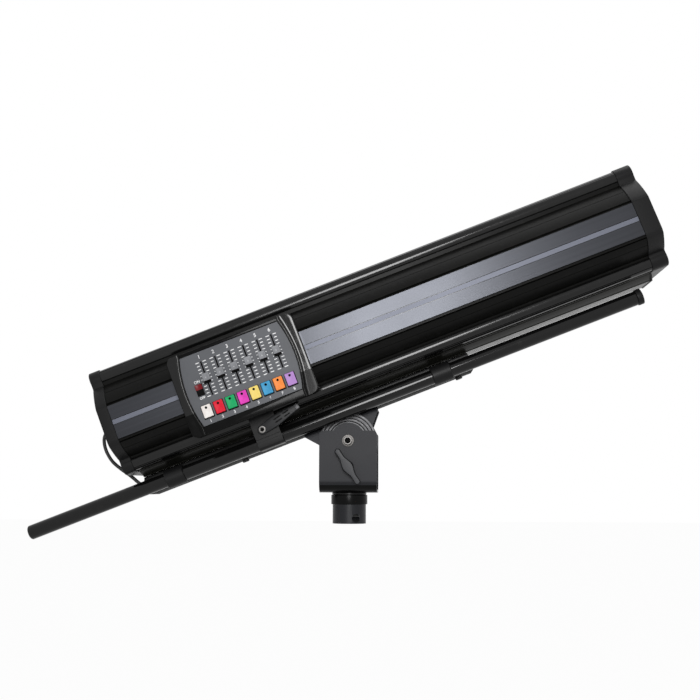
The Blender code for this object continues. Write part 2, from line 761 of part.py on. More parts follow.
def build_handle():
    inner = HANDLE_RADIUS - HANDLE_WALL
    centre = (0, HANDLE_Y, HANDLE_Z)
    profile = [
        (0.0, HANDLE_REAR),
        (HANDLE_RADIUS - 0.003, HANDLE_REAR),
        (HANDLE_RADIUS, HANDLE_REAR + 0.003),
        (HANDLE_RADIUS, HANDLE_FRONT),
        (inner, HANDLE_FRONT),
        (inner, HANDLE_REAR + 0.004),
        (0.0, HANDLE_REAR + 0.004),
    ]
    finish("handle_tube", turned(profile, "X", centre, steps=28), TUBE_PAINT, head_frame)
    start = HANDLE_FRONT + GAP
    end = start + HANDLE_FLANGE
    plug = [
        (0.0, start - 0.016),
        (inner - GAP, start - 0.016),
        (inner - GAP, start),
        (HANDLE_FLANGE_RADIUS, start),
        (HANDLE_FLANGE_RADIUS, end - 0.003),
        (HANDLE_FLANGE_RADIUS - 0.003, end),
        (0.0, end),
    ]
    finish("handle_flange", turned(plug, "X", centre, steps=28), CAP_PLASTIC, head_frame)


def build_collar(name, span):
    # A ring round the handle tube, with its foot against the beam's side.
    bore = HANDLE_RADIUS + RUNNING
    centre = (0, HANDLE_Y, HANDLE_Z)
    start, end = span
    profile = [
        (bore, start),
        (COLLAR_RING_RADIUS - 0.0015, start),
        (COLLAR_RING_RADIUS, start + 0.0015),
        (COLLAR_RING_RADIUS, end - 0.0015),
        (COLLAR_RING_RADIUS - 0.0015, end),
        (bore, end),
    ]
    collar = finish(name, turned(profile, "X", centre, True), CAP_PLASTIC, head_frame)
    beam_side = -BEAM_HALF_WIDTH - GAP
    ring_side = HANDLE_Y + HANDLE_RADIUS + 0.0025
    low = (start + 0.003, ring_side, BEAM_LOW + 0.004)
    high = (end - 0.003, beam_side, BEAM_TOP - 0.004)
    combine(collar, helper(name + "_foot", box(low, high), head_frame), "UNION")


def build_mid_clamp():
    # A saddle on the handle tube, a back plate that rises behind it, and the block that carries the lever.
    start, end = CLAMP_X
    block_back = HANDLE_Y + HANDLE_RADIUS + 0.004
    low, high = HANDLE_Z - CLAMP_BELOW, HANDLE_Z + CLAMP_ABOVE
    section = rounded_rectangle((CLAMP_FACE, low), (block_back, high), 0.006, 3)
    clamp = finish("mid_clamp", prism(section, "X", start, end), CAP_PLASTIC, head_frame)
    foot = box(
        (start + 0.004, block_back - 0.004, BEAM_LOW + 0.006),
        (end - 0.004, -BEAM_HALF_WIDTH - GAP, BEAM_TOP - 0.006),
    )
    combine(clamp, helper("mid_clamp_foot", foot, head_frame), "UNION")
    back_low = (start, HANDLE_Z)
    back_high = (end, HANDLE_Z + CLAMP_BACK_TOP)
    rear_face = CLAMP_FACE + 0.0008
    plate = prism(rounded_rectangle(back_low, back_high, 0.002, 2), "Y", CLAMP_FACE - CLAMP_BACK_PLATE, rear_face)
    combine(clamp, helper("mid_clamp_back", plate, head_frame), "UNION")
    front = CLAMP_FACE - CLAMP_PLATE
    block = prism(
        rounded_rectangle((start, HANDLE_Z + CLAMP_PLATE_LOW), (end, HANDLE_Z + CLAMP_PLATE_TOP), 0.003, 2),
        "Y",
        front,
        rear_face,
    )
    combine(clamp, helper("mid_clamp_block", block, head_frame), "UNION")
    bore = cylinder(
        (start - 0.01, HANDLE_Y, HANDLE_Z), (end + 0.01, HANDLE_Y, HANDLE_Z), HANDLE_RADIUS + RUNNING, 28
    )
    combine(clamp, helper("mid_clamp_bore", bore, head_frame))
    x, z = CLAMP_PIVOT[0], HANDLE_Z + CLAMP_PIVOT[1]
    pin_radius = 0.0035
    pin_depth = 0.004
    hole = cylinder((x, front - 0.01, z), (x, front + pin_depth, z), pin_radius + RUNNING, 16)
    combine(clamp, helper("mid_clamp_hole", hole, head_frame))

    turn = math.radians(CLAMP_LEVER_TURN)
    back = front - GAP
    face = back - CLAMP_LEVER_DEPTH
    long = CLAMP_LEVER_LENGTH
    root, tip = CLAMP_LEVER_ROOT, CLAMP_LEVER_TIP
    shape = arc((0, 0), 0.0098, 110, 250, 6)
    shape += [(long * 0.27, -root), (long * 0.42, -root), (long - 0.002, -tip), (long, -tip + 0.002)]
    shape += [(long, tip - 0.002), (long - 0.002, tip), (long * 0.42, root), (long * 0.27, root)]
    arm = []
    for a, b in shape:
        arm.append((x + a * math.cos(turn) - b * math.sin(turn), z + a * math.sin(turn) + b * math.cos(turn)))
    lever = finish("clamp_lever", prism(arm, "Y", face, back), CAP_PLASTIC, head_frame, (x, back, z))
    round_edges(lever, 0.0012, 1)
    shaft = cylinder((x, face - 0.002, z), (x, front + pin_depth - GAP, z), pin_radius, 16)
    combine(lever, helper("clamp_lever_pin", shaft, head_frame), "UNION")
    button = cylinder((x, face - 0.003, z), (x, face + 0.001, z), CLAMP_SCREW_RADIUS, 24)
    combine(lever, helper("clamp_lever_screw", button, head_frame), "UNION")


def build_shells():
    section = shell_section()
    finish("left_shell", prism(section, "X", SHELL_REAR, SHELL_FRONT), SIDE_PAINT, barrel_frame)
    other = mirrored(section)
    finish("right_shell", prism(other, "X", SHELL_REAR, SHELL_FRONT), SIDE_PAINT, barrel_frame)

    bead_inside = UPPER_BEAD_Y - BEAD_RADIUS * math.cos(math.radians(30))
    half = bead_inside - GAP
    low = COVER_Z - COVER_WALL
    cover = [(-half, low), (half, low), (half, COVER_Z - 0.0005), (half - 0.006, COVER_Z)]
    cover += [(half - 0.012, COVER_Z), (half - 0.014, COVER_Z + 0.0035)]
    cover += [(-half + 0.014, COVER_Z + 0.0035), (-half + 0.012, COVER_Z)]
    cover += [(-half + 0.006, COVER_Z), (-half, COVER_Z - 0.0005)]
    finish("top_cover", prism(cover, "X", SHELL_REAR, SHELL_FRONT), BLACK_PAINT, barrel_frame)


def tray_section():
    # The underside, a folded sheet: edge strips beside the beads and a keel between them, with grooves.
    half = LOWER_BEAD_Y - BEAD_RADIUS * math.cos(math.radians(30)) - GAP
    edge, flat, low = TRAY_SLOPE_Y, TRAY_FLAT_Y, TRAY_Z
    strip = TRAY_EDGE_Z
    side = [(half, TRAY_TOP), (half, strip + 0.003), (half - 0.003, strip), (edge + 0.0016, strip)]
    side += [(edge + 0.0008, strip + 0.0024), (edge - 0.0012, strip + 0.0012), (edge - 0.0022, strip - 0.0016)]
    side += [(flat + 0.0016, low + 0.0024), (flat + 0.0006, low + 0.0030), (flat - 0.0010, low + 0.0016)]
    side += [(flat - 0.0014, low)]
    inside = [(flat - 0.0024, low + TRAY_SHEET), (edge - 0.0080, TRAY_TOP)]
    outer = side + mirrored(side)
    inner = inside + mirrored(inside)
    return outer + inner[::-1]


def build_tray():
    section = tray_section()
    tray = finish("bottom_tray", prism(section, "X", SHELL_REAR, SHELL_FRONT), BLACK_PAINT, barrel_frame)
    beam_top = BEAM_TOP + GAP - AXIS_HEIGHT
    feet = bmesh.new()
    holes = bmesh.new()
    for x in FOOT_X:
        low = (x - FOOT_HALF_LENGTH, -FOOT_HALF_WIDTH, beam_top)
        high = (x + FOOT_HALF_LENGTH, FOOT_HALF_WIDTH, TRAY_Z + TRAY_SHEET * 0.5)
        add_box(feet, low, high)
        bolt_end = TRAY_Z + GAP
        add_cylinder(holes, (x, 0, beam_top - 0.01), (x, 0, bolt_end), FOOT_BOLT_RADIUS + GAP, 16)
    combine(tray, helper("tray_feet", feet, barrel_frame), "UNION")
    combine(tray, helper("tray_holes", holes, barrel_frame))


def build_front_cap():
    start = SHELL_FRONT + GAP
    end = start + FRONT_CAP
    cap = finish("front_cap", prism(whole_outline(CAP_PROUD), "X", start, end), CAP_PLASTIC, barrel_frame)
    round_edges(cap, 0.0022, 1, 60)
    top = -BEAD_Z - BEAD_RADIUS
    right = [(TRAY_SLOPE_Y + 0.006, top), (TRAY_SLOPE_Y + 0.001, TRAY_EDGE_Z), (TRAY_FLAT_Y + 0.001, TRAY_Z - 0.0015)]
    lip = prism([(-y, z) for y, z in right] + right[::-1], "X", start, start + KEEL_LIP)
    combine(cap, helper("front_cap_lip", lip, barrel_frame), "UNION")
    pocket = prism(whole_outline(-SHELL_WALL), "X", start - 0.01, end - CAP_WALL)
    combine(cap, helper("front_cap_pocket", pocket, barrel_frame))
    hole = cylinder((start, 0, 0), (end + 0.01, 0, 0), FRONT_HOLE_RADIUS, 40)
    combine(cap, helper("front_cap_hole", hole, barrel_frame))


def fan_slots():
    # Bars of a round guard in front of the fan.
    bm = bmesh.new()
    reach = FAN_RADIUS - 0.002
    for step in (-3, -2, -1, 1, 2, 3):
        z = step * 0.0118
        wide = math.sqrt(reach**2 - (abs(z) + 0.003) ** 2)
        low = (SHELL_REAR - REAR_CAP - 0.01, FAN_Y - wide, z - 0.0028)
        high = (SHELL_REAR - 0.010, FAN_Y + wide, z + 0.0028)
        add_box(bm, low, high)
    return bm


def build_rear_cap():
    end = SHELL_REAR - GAP
    start = end - REAR_CAP
    cap = finish("rear_cap", prism(whole_outline(CAP_PROUD), "X", start, end), CAP_PLASTIC, barrel_frame)
    round_edges(cap, 0.0022, 1, 60)
    pocket = prism(whole_outline(-SHELL_WALL), "X", start + CAP_WALL, end + 0.01)
    combine(cap, helper("rear_cap_pocket", pocket, barrel_frame))
    boss = turned(
        [
            (0.0, start + 0.002),
            (0.009, start + 0.002),
            (0.009, start + CAP_WALL + 0.006),
            (AXLE_RADIUS, start + CAP_WALL + 0.006),
            (AXLE_RADIUS, start + CAP_WALL + 0.006 + GAP + FAN_LENGTH + 0.002),
            (0.0, start + CAP_WALL + 0.006 + GAP + FAN_LENGTH + 0.002),
        ],
        "X",
        (0, FAN_Y, 0),
        steps=20,
    )
    combine(cap, helper("fan_boss", boss, barrel_frame), "UNION")
    combine(cap, helper("fan_slots", fan_slots(), barrel_frame))


def build_fan():
    start = SHELL_REAR - GAP - REAR_CAP + CAP_WALL + 0.006 + GAP
    hub_radius = 0.013
    hub = ring(AXLE_RADIUS + RUNNING, hub_radius, start, start + FAN_LENGTH, "X", (0, FAN_Y, 0), 24)
    at = (start, FAN_Y, 0)
    fan = finish("fan_rotor", hub, CAP_PLASTIC, barrel_frame, at)
    blades = bmesh.new()
    for index in range(FAN_BLADES):
        turn = 2 * PI * index / FAN_BLADES
        blade = bmesh.new()
        add_box(blade, (start + 0.003, -0.0008, hub_radius - 0.002), (start + 0.015, 0.0008, FAN_RADIUS - 0.004))
        middle = Vector((start + 0.009, 0, 0))
        pitch = Matrix.Translation(middle) @ Matrix.Rotation(math.radians(32), 4, "Z")
        pitch = pitch @ Matrix.Translation(-middle)
        place = Matrix.Translation((0, FAN_Y, 0)) @ Matrix.Rotation(turn, 4, "X") @ pitch
        bmesh.ops.transform(blade, matrix=place, verts=blade.verts)
        spare = bpy.data.meshes.new("one_blade")
        blade.to_mesh(spare)
        blade.free()
        blades.from_mesh(spare)
        bpy.data.meshes.remove(spare)
    combine(fan, helper("fan_blades", blades, barrel_frame), "UNION")


def inner_plate_outline():
    # An inner plate touches the flat side panels, the tray and the cover, and stands off the facets.
    wall = SHELL_WALL + GROOVE * 0.5
    stand_off = 0.004
    reach = PANEL_Y - wall - GAP
    low = TRAY_TOP + GAP
    high = COVER_Z - COVER_WALL - GAP
    side = [(UPPER_BEAD_Y - BEAD_RADIUS - 0.012, high)]
    side += moved_in([UPPER_FACET, UPPER_SHOULDER], wall + stand_off)
    side += [(reach, PANEL_TOP - stand_off), (reach, PANEL_LOW + stand_off)]
    side += moved_in([LOWER_SHOULDER, LOWER_FACET], wall + stand_off)
    side += [(LOWER_BEAD_Y - BEAD_RADIUS - 0.006, low)]
    return side + mirrored(side)


def build_frame():
    # The plate behind the colour wheel, and the frame whose two rods carry the lens carriages.
    outline = inner_plate_outline()
    plate = prism(outline, "X", LAMP_PLATE_X, LAMP_PLATE_X + PLATE)
    lamp_plate = finish("lamp_plate", plate, BARE_ALUMINIUM, barrel_frame)
    mouth = cylinder((LAMP_PLATE_X - 0.01, 0, 0), (LAMP_PLATE_X + 0.02, 0, 0), 0.060, 28)
    combine(lamp_plate, helper("lamp_plate_hole", mouth, barrel_frame))

    frame = finish("lens_frame", prism(outline, "X", GATE_PLATE_X, GATE_PLATE_X + PLATE), BARE_ALUMINIUM, barrel_frame)
    front = prism(outline, "X", FRONT_PLATE_X, FRONT_PLATE_X + PLATE)
    front_plate = helper("frame_front", front, barrel_frame)
    seat = GATE_PLATE_X + PLATE
    boss = cylinder((seat - 0.002, 0, 0), (seat + 0.009, 0, 0), IRIS_BORE - RUNNING, 32)
    combine(frame, helper("iris_boss", boss, barrel_frame), "UNION")
    axle_start = GATE_PLATE_X + 0.002
    axle_end = GATE_PLATE_X - 0.016
    axle = cylinder((axle_end, WHEEL_Y, 0), (axle_start, WHEEL_Y, 0), AXLE_RADIUS, 16)
    combine(frame, helper("wheel_axle", axle, barrel_frame), "UNION")
    for name, side in (("near_rod", -1), ("far_rod", 1)):
        y = side * ROD_Y
        rod = cylinder((seat - 0.003, y, ROD_Z), (FRONT_PLATE_X + 0.003, y, ROD_Z), ROD_RADIUS, 20)
        combine(frame, helper(name, rod, barrel_frame), "UNION")
    combine(frame, front_plate, "UNION")
    holes = cylinder((GATE_PLATE_X - 0.01, 0, 0), (GATE_PLATE_X + 0.03, 0, 0), GATE_RADIUS, 28)
    radius = FRONT_LENS_RADIUS - 0.008
    add_cylinder(holes, (FRONT_PLATE_X - 0.01, 0, 0), (FRONT_PLATE_X + 0.02, 0, 0), radius, 32)
    combine(frame, helper("frame_holes", holes, barrel_frame))


def lens_profile(radius, edge, bulge_rear, bulge_front, middle, steps=2):
    # Two shallow domes on a cylindrical edge, from the rear pole to the front one.
    found = []
    for index in range(steps + 1):
        share = index / steps
        found.append((radius * share, middle - edge / 2 - bulge_rear * (1 - share**2)))
    for index in range(steps + 1):
        share = 1 - index / steps
        found.append((radius * share, middle + edge / 2 + bulge_front * (1 - share**2)))
    return found


def build_carriage(name, x, bulge_rear, bulge_front):
    half = CARRIAGE_LENGTH / 2
    at = (x, 0, 0)
    outer = LENS_RADIUS + 0.012
    body = cylinder((x - half, 0, 0), (x + half, 0, 0), outer, 32)
    carriage = finish(name + "_carriage", body, BARE_ALUMINIUM, barrel_frame, at)
    saddle = prism(
        rounded_rectangle((-ROD_Y - 0.012, ROD_Z - 0.012), (ROD_Y + 0.012, ROD_Z + 0.016), 0.008, 3),
        "X",
        x - half,
        x + half,
    )
    combine(carriage, helper(name + "_saddle", saddle, barrel_frame), "UNION")
    bores = cylinder((x - half - 0.01, 0, 0), (x + half + 0.01, 0, 0), LENS_RADIUS + GAP, 32)
    combine(carriage, helper(name + "_bore", bores, barrel_frame))
    rods = bmesh.new()
    for side in (-1, 1):
        y = side * ROD_Y
        add_cylinder(rods, (x - half - 0.01, y, ROD_Z), (x + half + 0.01, y, ROD_Z), ROD_RADIUS + RUNNING, 20)
    combine(carriage, helper(name + "_rod_bores", rods, barrel_frame))
    profile = lens_profile(LENS_RADIUS, CARRIAGE_LENGTH * 0.6, bulge_rear, bulge_front, x)
    finish(name + "_lens", turned(profile, steps=32), GLASS, barrel_frame, at)


def build_front_lens():
    seat = FRONT_PLATE_X + PLATE + GAP
    edge = 0.010
    profile = lens_profile(FRONT_LENS_RADIUS, edge, 0.0, 0.014, seat + edge / 2)
    finish("front_lens", turned(profile, steps=32), GLASS, barrel_frame)


def build_gate():
    seat = GATE_PLATE_X + PLATE + GAP
    iris = ring(IRIS_BORE, IRIS_RADIUS, seat, seat + 0.007, "X", steps=28)
    turn_ring = finish("iris_ring", iris, BARE_ALUMINIUM, barrel_frame, (seat, 0, 0))
    arm = box((seat, -0.004, IRIS_RADIUS - 0.004), (seat + 0.007, 0.004, IRIS_RADIUS + 0.018))
    combine(turn_ring, helper("iris_arm", arm, barrel_frame), "UNION")

    start = GATE_PLATE_X - 0.0105
    wheel = ring(AXLE_RADIUS + RUNNING, WHEEL_RADIUS, start, start + 0.003, "X", (0, WHEEL_Y, 0), 32)
    made = finish("colour_wheel", wheel, BARE_ALUMINIUM, barrel_frame, (start, WHEEL_Y, 0))
    windows = bmesh.new()
    for index in range(WHEEL_HOLES):
        turn = PI + 2 * PI * index / WHEEL_HOLES
        y = WHEEL_Y + WHEEL_Y * math.cos(turn)
        z = WHEEL_Y * math.sin(turn)
        add_cylinder(windows, (start - 0.01, y, z), (start + 0.01, y, z), WHEEL_HOLE_RADIUS, 12)
    combine(made, helper("wheel_windows", windows, barrel_frame))


def build_lamp():
    # An elliptical dish whose flange sits on the lamp plate, and a lamp held by its neck.
    face = LAMP_PLATE_X - GAP
    wall = REFLECTOR_SHEET
    outer = [(REFLECTOR_RADIUS + 0.006, face)]
    outer += [(REFLECTOR_RADIUS + 0.006, face - 0.002), (REFLECTOR_RADIUS - 0.018, face - 0.002)]
    inner = [(REFLECTOR_RADIUS - 0.020, face)]
    steps = 4
    mouth = REFLECTOR_RADIUS - 0.020
    for index in range(1, steps + 1):
        angle = (PI / 2) * index / steps * 0.86
        radius = mouth * math.cos(angle)
        along = face - REFLECTOR_LENGTH * math.sin(angle)
        inner.append((radius, along))
        outer.append((radius + wall * math.cos(angle) + 0.0008, along - wall * math.sin(angle) - 0.0006))
    neck_end = inner[-1][1] - 0.020
    neck = inner[-1][0]
    inner.append((neck, neck_end))
    outer.append((neck + 0.003, outer[-1][1]))
    outer.append((neck + 0.003, neck_end))
    profile = outer + inner[::-1]
    finish("reflector", turned(profile, closed=True, steps=24), REFLECTOR_METAL, barrel_frame)
    base_front = neck_end - GAP
    lamp = [
        (0.0, base_front - LAMP_BASE),
        (REFLECTOR_NECK, base_front - LAMP_BASE),
        (REFLECTOR_NECK, base_front),
        (LAMP_RADIUS * 0.8, base_front),
        (LAMP_RADIUS * 0.8, base_front + LAMP_STEM),
        (LAMP_RADIUS, base_front + LAMP_STEM + LAMP_RADIUS * 0.8),
        (LAMP_RADIUS, base_front + LAMP_TIP),
        (LAMP_RADIUS * 0.6, base_front + LAMP_TIP + LAMP_RADIUS * 0.8),
        (0.0, base_front + LAMP_LENGTH),
    ]
    finish("lamp", turned(lamp, steps=16), GLASS, barrel_frame)


def console_outline():
    low = (CONSOLE_X[0], CONSOLE_Z[0])
    high = (CONSOLE_X[1], CONSOLE_Z[1])
    return rounded_rectangle(low, high, CONSOLE_CORNER, 4)


def bulged_edge(x, way, growth, steps=8):
    # A curved upright edge of the faceplate, from its top corner to its lower one.
    found = []
    top = FACE_Z[1] + growth
    low = FACE_Z[0] - growth
    for index in range(steps + 1):
        share = index / steps
        bow = FACE_BULGE * 4 * share * (1 - share)
        found.append((x + way * (bow + growth), top + (low - top) * share))
    return found


def face_outline(growth):
    left = bulged_edge(FACE_X[0], -1, growth)
    right = bulged_edge(FACE_X[1], 1, growth)
    return left + right[::-1]


def build_console():
    housing = finish(
        "console_housing",
        prism(console_outline(), "Y", CONSOLE_FACE, CONSOLE_BACK),
        BLACK_PAINT,
        barrel_frame,
    )
    round_edges(housing, 0.0015, 1, 60)
    seat = moved_in(facet(UPPER_FACET, UPPER_SHOULDER, FACET_CROWN), -2 * GAP)[1:]
    seat += [(PANEL_Y + GAP, PANEL_TOP), (PANEL_Y + GAP, PANEL_LOW - 0.0052)]
    seat += moved_in(facet(LOWER_SHOULDER, LOWER_FACET, FACET_CROWN), -2 * GAP)[:-1]
    inside = -CONSOLE_BACK + 0.002
    seat = [(inside, seat[0][1])] + seat + [(inside, seat[-1][1])]
    saddle = prism(mirrored(seat), "X", CONSOLE_X[0] + CONSOLE_CORNER, CONSOLE_X[1] - CONSOLE_CORNER)
    combine(housing, helper("console_saddle", saddle, barrel_frame), "UNION")
    low = (FACE_X[0] + 0.002, CONSOLE_FACE - 0.01, FACE_Z[0] + 0.006)
    high = (FACE_X[1] - 0.002, CONSOLE_BACK - 0.0025, FACE_Z[1] - 0.006)
    combine(housing, helper("console_cavity", box(low, high), barrel_frame))

    back = CONSOLE_FACE - GAP
    cheeks = prism(console_outline(), "Y", CONSOLE_FACE - CHEEK, CONSOLE_FACE + 0.0005)
    made = helper("console_cheeks", cheeks, barrel_frame)
    middle = bulged_edge(FACE_X[0], -1, GAP)
    other = bulged_edge(FACE_X[1], 1, GAP)
    high_edge = CONSOLE_Z[1] + 0.02
    low_edge = CONSOLE_Z[0] - 0.02
    window = [(middle[0][0] + 0.003, high_edge)] + middle + [(middle[-1][0] + 0.003, low_edge)]
    window += [(other[-1][0] - 0.003, low_edge)] + other[::-1] + [(other[0][0] - 0.003, high_edge)]
    combine(made, helper("cheek_window", prism(window, "Y", back - 0.02, CONSOLE_BACK), barrel_frame))
    combine(housing, made, "UNION")

    plate = prism(face_outline(-GAP), "Y", back - FACE_PLATE, back)
    face = finish("console_faceplate", plate, FACE_GREY, barrel_frame)
    holes = bmesh.new()
    for index in range(FADERS):
        x = FADER_X + FADER_PITCH * index
        half = FADER_SLOT_WIDTH / 2
        add_box(holes, (x - half, back - 0.01, FADER_SLOT[0]), (x + half, back + 0.01, FADER_SLOT[1]))
    for index in range(len(BUTTON_NAMES)):
        x = BUTTON_X + BUTTON_PITCH * index
        wide, tall = BUTTON_SIZE[0] / 2 + GAP, BUTTON_SIZE[1] / 2 + GAP
        add_box(holes, (x - wide, back - 0.01, BUTTON_Z - tall), (x + wide, back + 0.01, BUTTON_Z + tall))
    x, z = ROCKER_AT
    wide, tall = ROCKER_SIZE[0] / 2 + GAP, ROCKER_SIZE[1] / 2 + 2 * GAP
    add_box(holes, (x - wide, back - 0.01, z - tall), (x + wide, back + 0.01, z + tall))
    combine(face, helper("faceplate_holes", holes, barrel_frame))


def build_controls():
    front = CONSOLE_FACE - GAP - FACE_PLATE
    for index in range(FADERS):
        x = FADER_X + FADER_PITCH * index
        wide, rise, tall = FADER_KNOB
        section = [
            (front - GAP, FADER_Z - tall / 2),
            (front - GAP - rise, FADER_Z - tall / 2 + 0.003),
            (front - GAP - rise + 0.0025, FADER_Z),
            (front - GAP - rise, FADER_Z + tall / 2 - 0.003),
            (front - GAP, FADER_Z + tall / 2),
        ]
        at = (x, front, FADER_Z)
        name = f"fader_{index + 1}"
        knob = finish(name, prism(section, "X", x - wide / 2, x + wide / 2), KNOB_GREY, barrel_frame, at)
        stem_half = FADER_SLOT_WIDTH / 2 - RUNNING
        low = (x - stem_half, front - 0.002, FADER_Z - 0.003)
        high = (x + stem_half, front + 0.008, FADER_Z + 0.003)
        combine(knob, helper(name + "_stem", box(low, high), barrel_frame), "UNION")
    for index, colour in enumerate(BUTTON_NAMES):
        x = BUTTON_X + BUTTON_PITCH * index
        paint = material("button_" + colour, BUTTON_COLOURS[colour], 0.35)
        low = (x - BUTTON_SIZE[0] / 2, BUTTON_Z - BUTTON_SIZE[1] / 2)
        high = (x + BUTTON_SIZE[0] / 2, BUTTON_Z + BUTTON_SIZE[1] / 2)
        body = prism(rounded_rectangle(low, high, 0.0015, 2), "Y", front - BUTTON_RISE, front + 0.008)
        finish("button_" + colour, body, paint, barrel_frame, (x, front, BUTTON_Z))
    x, z = ROCKER_AT
    half = ROCKER_SIZE[1] / 2
    section = [
        (front + 0.005, z - half * 0.70),
        (front - 0.0005, z - half + 0.0004),
        (front - 0.0010, z - half + 0.0006),
        (front - 0.0022, z),
        (front - 0.0048, z + half - 0.0008),
        (front - 0.0035, z + half - 0.0004),
        (front + 0.005, z + half * 0.70),
    ]
    wide = ROCKER_SIZE[0] / 2
    at = (x, front + 0.001, z)
    rocker = prism(section, "X", x - wide, x + wide)
    finish("lamp_rocker", rocker, GLOSS_BLACK, barrel_frame, at)


def smooth_route(points, step):
    # Points a step apart on one smooth curve through the route's own points.
    dense = []
    count = len(points)
    for index in range(count - 1):
        before = Vector(points[max(index - 1, 0)])
        start = Vector(points[index])
        end = Vector(points[index + 1])
        after = Vector(points[min(index + 2, count - 1)])
        for part in range(20):
            s = part / 20
            place = 0.5 * (
                2 * start
                + (end - before) * s
                + (2 * before - 5 * start + 4 * end - after) * s**2
                + (3 * start - before - 3 * end + after) * s**3
            )
            dense.append(place)
    dense.append(Vector(points[-1]))
    lengths = [0.0]
    for first, second in zip(dense, dense[1:]):
        lengths.append(lengths[-1] + (second - first).length)
    total = lengths[-1]
    pieces = max(2, round(total / step))
    found = []
    spot = 0
    for index in range(pieces + 1):
        wanted = total * index / pieces
        while spot < len(lengths) - 2 and lengths[spot + 1] < wanted:
            spot += 1
        run = lengths[spot + 1] - lengths[spot]
        share = (wanted - lengths[spot]) / run
        found.append(dense[spot].lerp(dense[spot + 1], share))
    return found, total


def build_cable():
    points, total = smooth_route(CABLE_ROUTE, CABLE_STEP)
    print(f"link cable {total:.3f} m")
    curve = bpy.data.curves.new("link_cable", "CURVE")
    curve.dimensions = "3D"
    curve.bevel_depth = CABLE_RADIUS
    curve.bevel_resolution = 2
    curve.use_fill_caps = True
    spline = curve.splines.new("POLY")
    spline.points.add(len(points) - 1)
    for knot, place in zip(spline.points, points):
        knot.co = (*place, 1.0)
    curve.materials.append(RUBBER)
    cable = bpy.data.objects.new("link_cable", curve)
    cable.parent = head_frame
    bpy.context.scene.collection.objects.link(cable)

    x, y, z = CABLE_ROUTE[0]
    outside = SHELL_REAR - GAP - REAR_CAP - GAP
    bore = CABLE_RADIUS + GAP
    glands = turned(
        [
            (bore, outside - GLAND_LENGTH),
            (GLAND_RADIUS * 0.7, outside - GLAND_LENGTH),
            (GLAND_RADIUS, outside - GLAND_LENGTH * 0.6),
            (GLAND_RADIUS, outside - 0.003),
            (GLAND_RADIUS * 1.25, outside - 0.003),
            (GLAND_RADIUS * 1.25, outside),
            (bore, outside),
        ],
        "X",
        (0, y, z),
        True,
        20,
    )
    x, y, z = CABLE_ROUTE[-1]
    half = BEAM_HALF_WIDTH - BEAM_WALL - GAP
    low = (-half, BEAM_LOW + BEAM_WALL + GAP)
    high = (half, BEAM_TOP - BEAM_WALL - GAP)
    finish("cable_gland", glands, RUBBER, head_frame)
    plug = prism(rounded_rectangle(low, high, 0.002, 1), "X", BEAM_REAR - 0.002, BEAM_REAR + 0.010)
    made = finish("beam_plug", plug, RUBBER, head_frame)
    hole = cylinder((BEAM_REAR - 0.01, y, z), (BEAM_REAR + 0.02, y, z), bore, 20)
    combine(made, helper("plug_hole", hole, head_frame))


build_stand()
build_spigot()
build_yoke()
build_pivot()
build_wing_lever()
build_bracket()
build_beam()
build_handle()
build_collar("rear_collar", REAR_COLLAR_X)
build_collar("front_collar", FRONT_COLLAR_X)
build_mid_clamp()
build_shells()
build_tray()
build_front_cap()
build_rear_cap()
build_fan()
build_frame()
build_carriage("zoom", ZOOM_X, 0.004, 0.010)
build_carriage("focus", FOCUS_X, 0.008, 0.008)
build_front_lens()
build_gate()
build_lamp()
build_console()
build_controls()
build_cable()
bpy.context.view_layer.update()
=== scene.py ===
import math

import bmesh
import bpy
import numpy as np
from mathutils import Matrix, Vector


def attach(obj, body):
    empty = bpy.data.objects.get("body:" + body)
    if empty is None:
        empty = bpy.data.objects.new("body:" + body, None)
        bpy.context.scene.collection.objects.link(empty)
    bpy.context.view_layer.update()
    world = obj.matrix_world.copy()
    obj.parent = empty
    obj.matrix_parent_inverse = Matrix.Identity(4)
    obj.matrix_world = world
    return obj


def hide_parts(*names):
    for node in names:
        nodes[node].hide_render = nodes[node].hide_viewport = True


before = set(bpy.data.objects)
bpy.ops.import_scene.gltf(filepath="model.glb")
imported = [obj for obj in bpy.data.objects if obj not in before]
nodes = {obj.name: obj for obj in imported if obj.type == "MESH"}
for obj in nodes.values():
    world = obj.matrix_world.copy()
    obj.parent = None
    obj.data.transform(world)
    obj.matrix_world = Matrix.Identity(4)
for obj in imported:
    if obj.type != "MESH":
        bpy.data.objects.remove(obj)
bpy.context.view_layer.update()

# The rest tilt, and places in metres. The head's own axes have x along the barrel.
layout = {
    "tilt": math.radians(21.2),
    "pivotHeight": 0.1727,
    "axisHeight": 0.2104,
    "gap": 0.0003,
}
flip = np.array([-1.0, 1.0])  # carries a section's points to the other side


def linked(name, data):
    made = bpy.data.objects.new(name, data)
    bpy.context.scene.collection.objects.link(made)
    return made


# Camera
cameraSet = {
    "place": (0.1215, -2.4226, 0.0820),
    "pitch": 6.787,
    "roll": -0.181,
    "yaw": 2.861,
    "focal": 58.11,
    "sensor": 36.0,
    "near": 0.05,
    "far": 60.0,
}


def placeCamera(s):
    # Right, forward and up come from a turn about z, then the sideways tilt, then the roll.
    turn = Matrix.Identity(3)
    for key, axis in (("yaw", "Z"), ("pitch", "X"), ("roll", "Y")):
        turn = turn @ Matrix.Rotation(math.radians(s[key]), 3, axis)
    right, forward, up = turn.col
    camera = linked("camera", bpy.data.cameras.new("camera"))
    axes = Matrix((right, up, -forward)).transposed().to_4x4()
    camera.matrix_world = Matrix.Translation(s["place"]) @ axes
    camera.data.sensor_width = s["sensor"]
    camera.data.lens = s["focal"]
    camera.data.clip_start = s["near"]
    camera.data.clip_end = s["far"]
    bpy.context.scene.camera = camera


placeCamera(cameraSet)
print("camera placed")


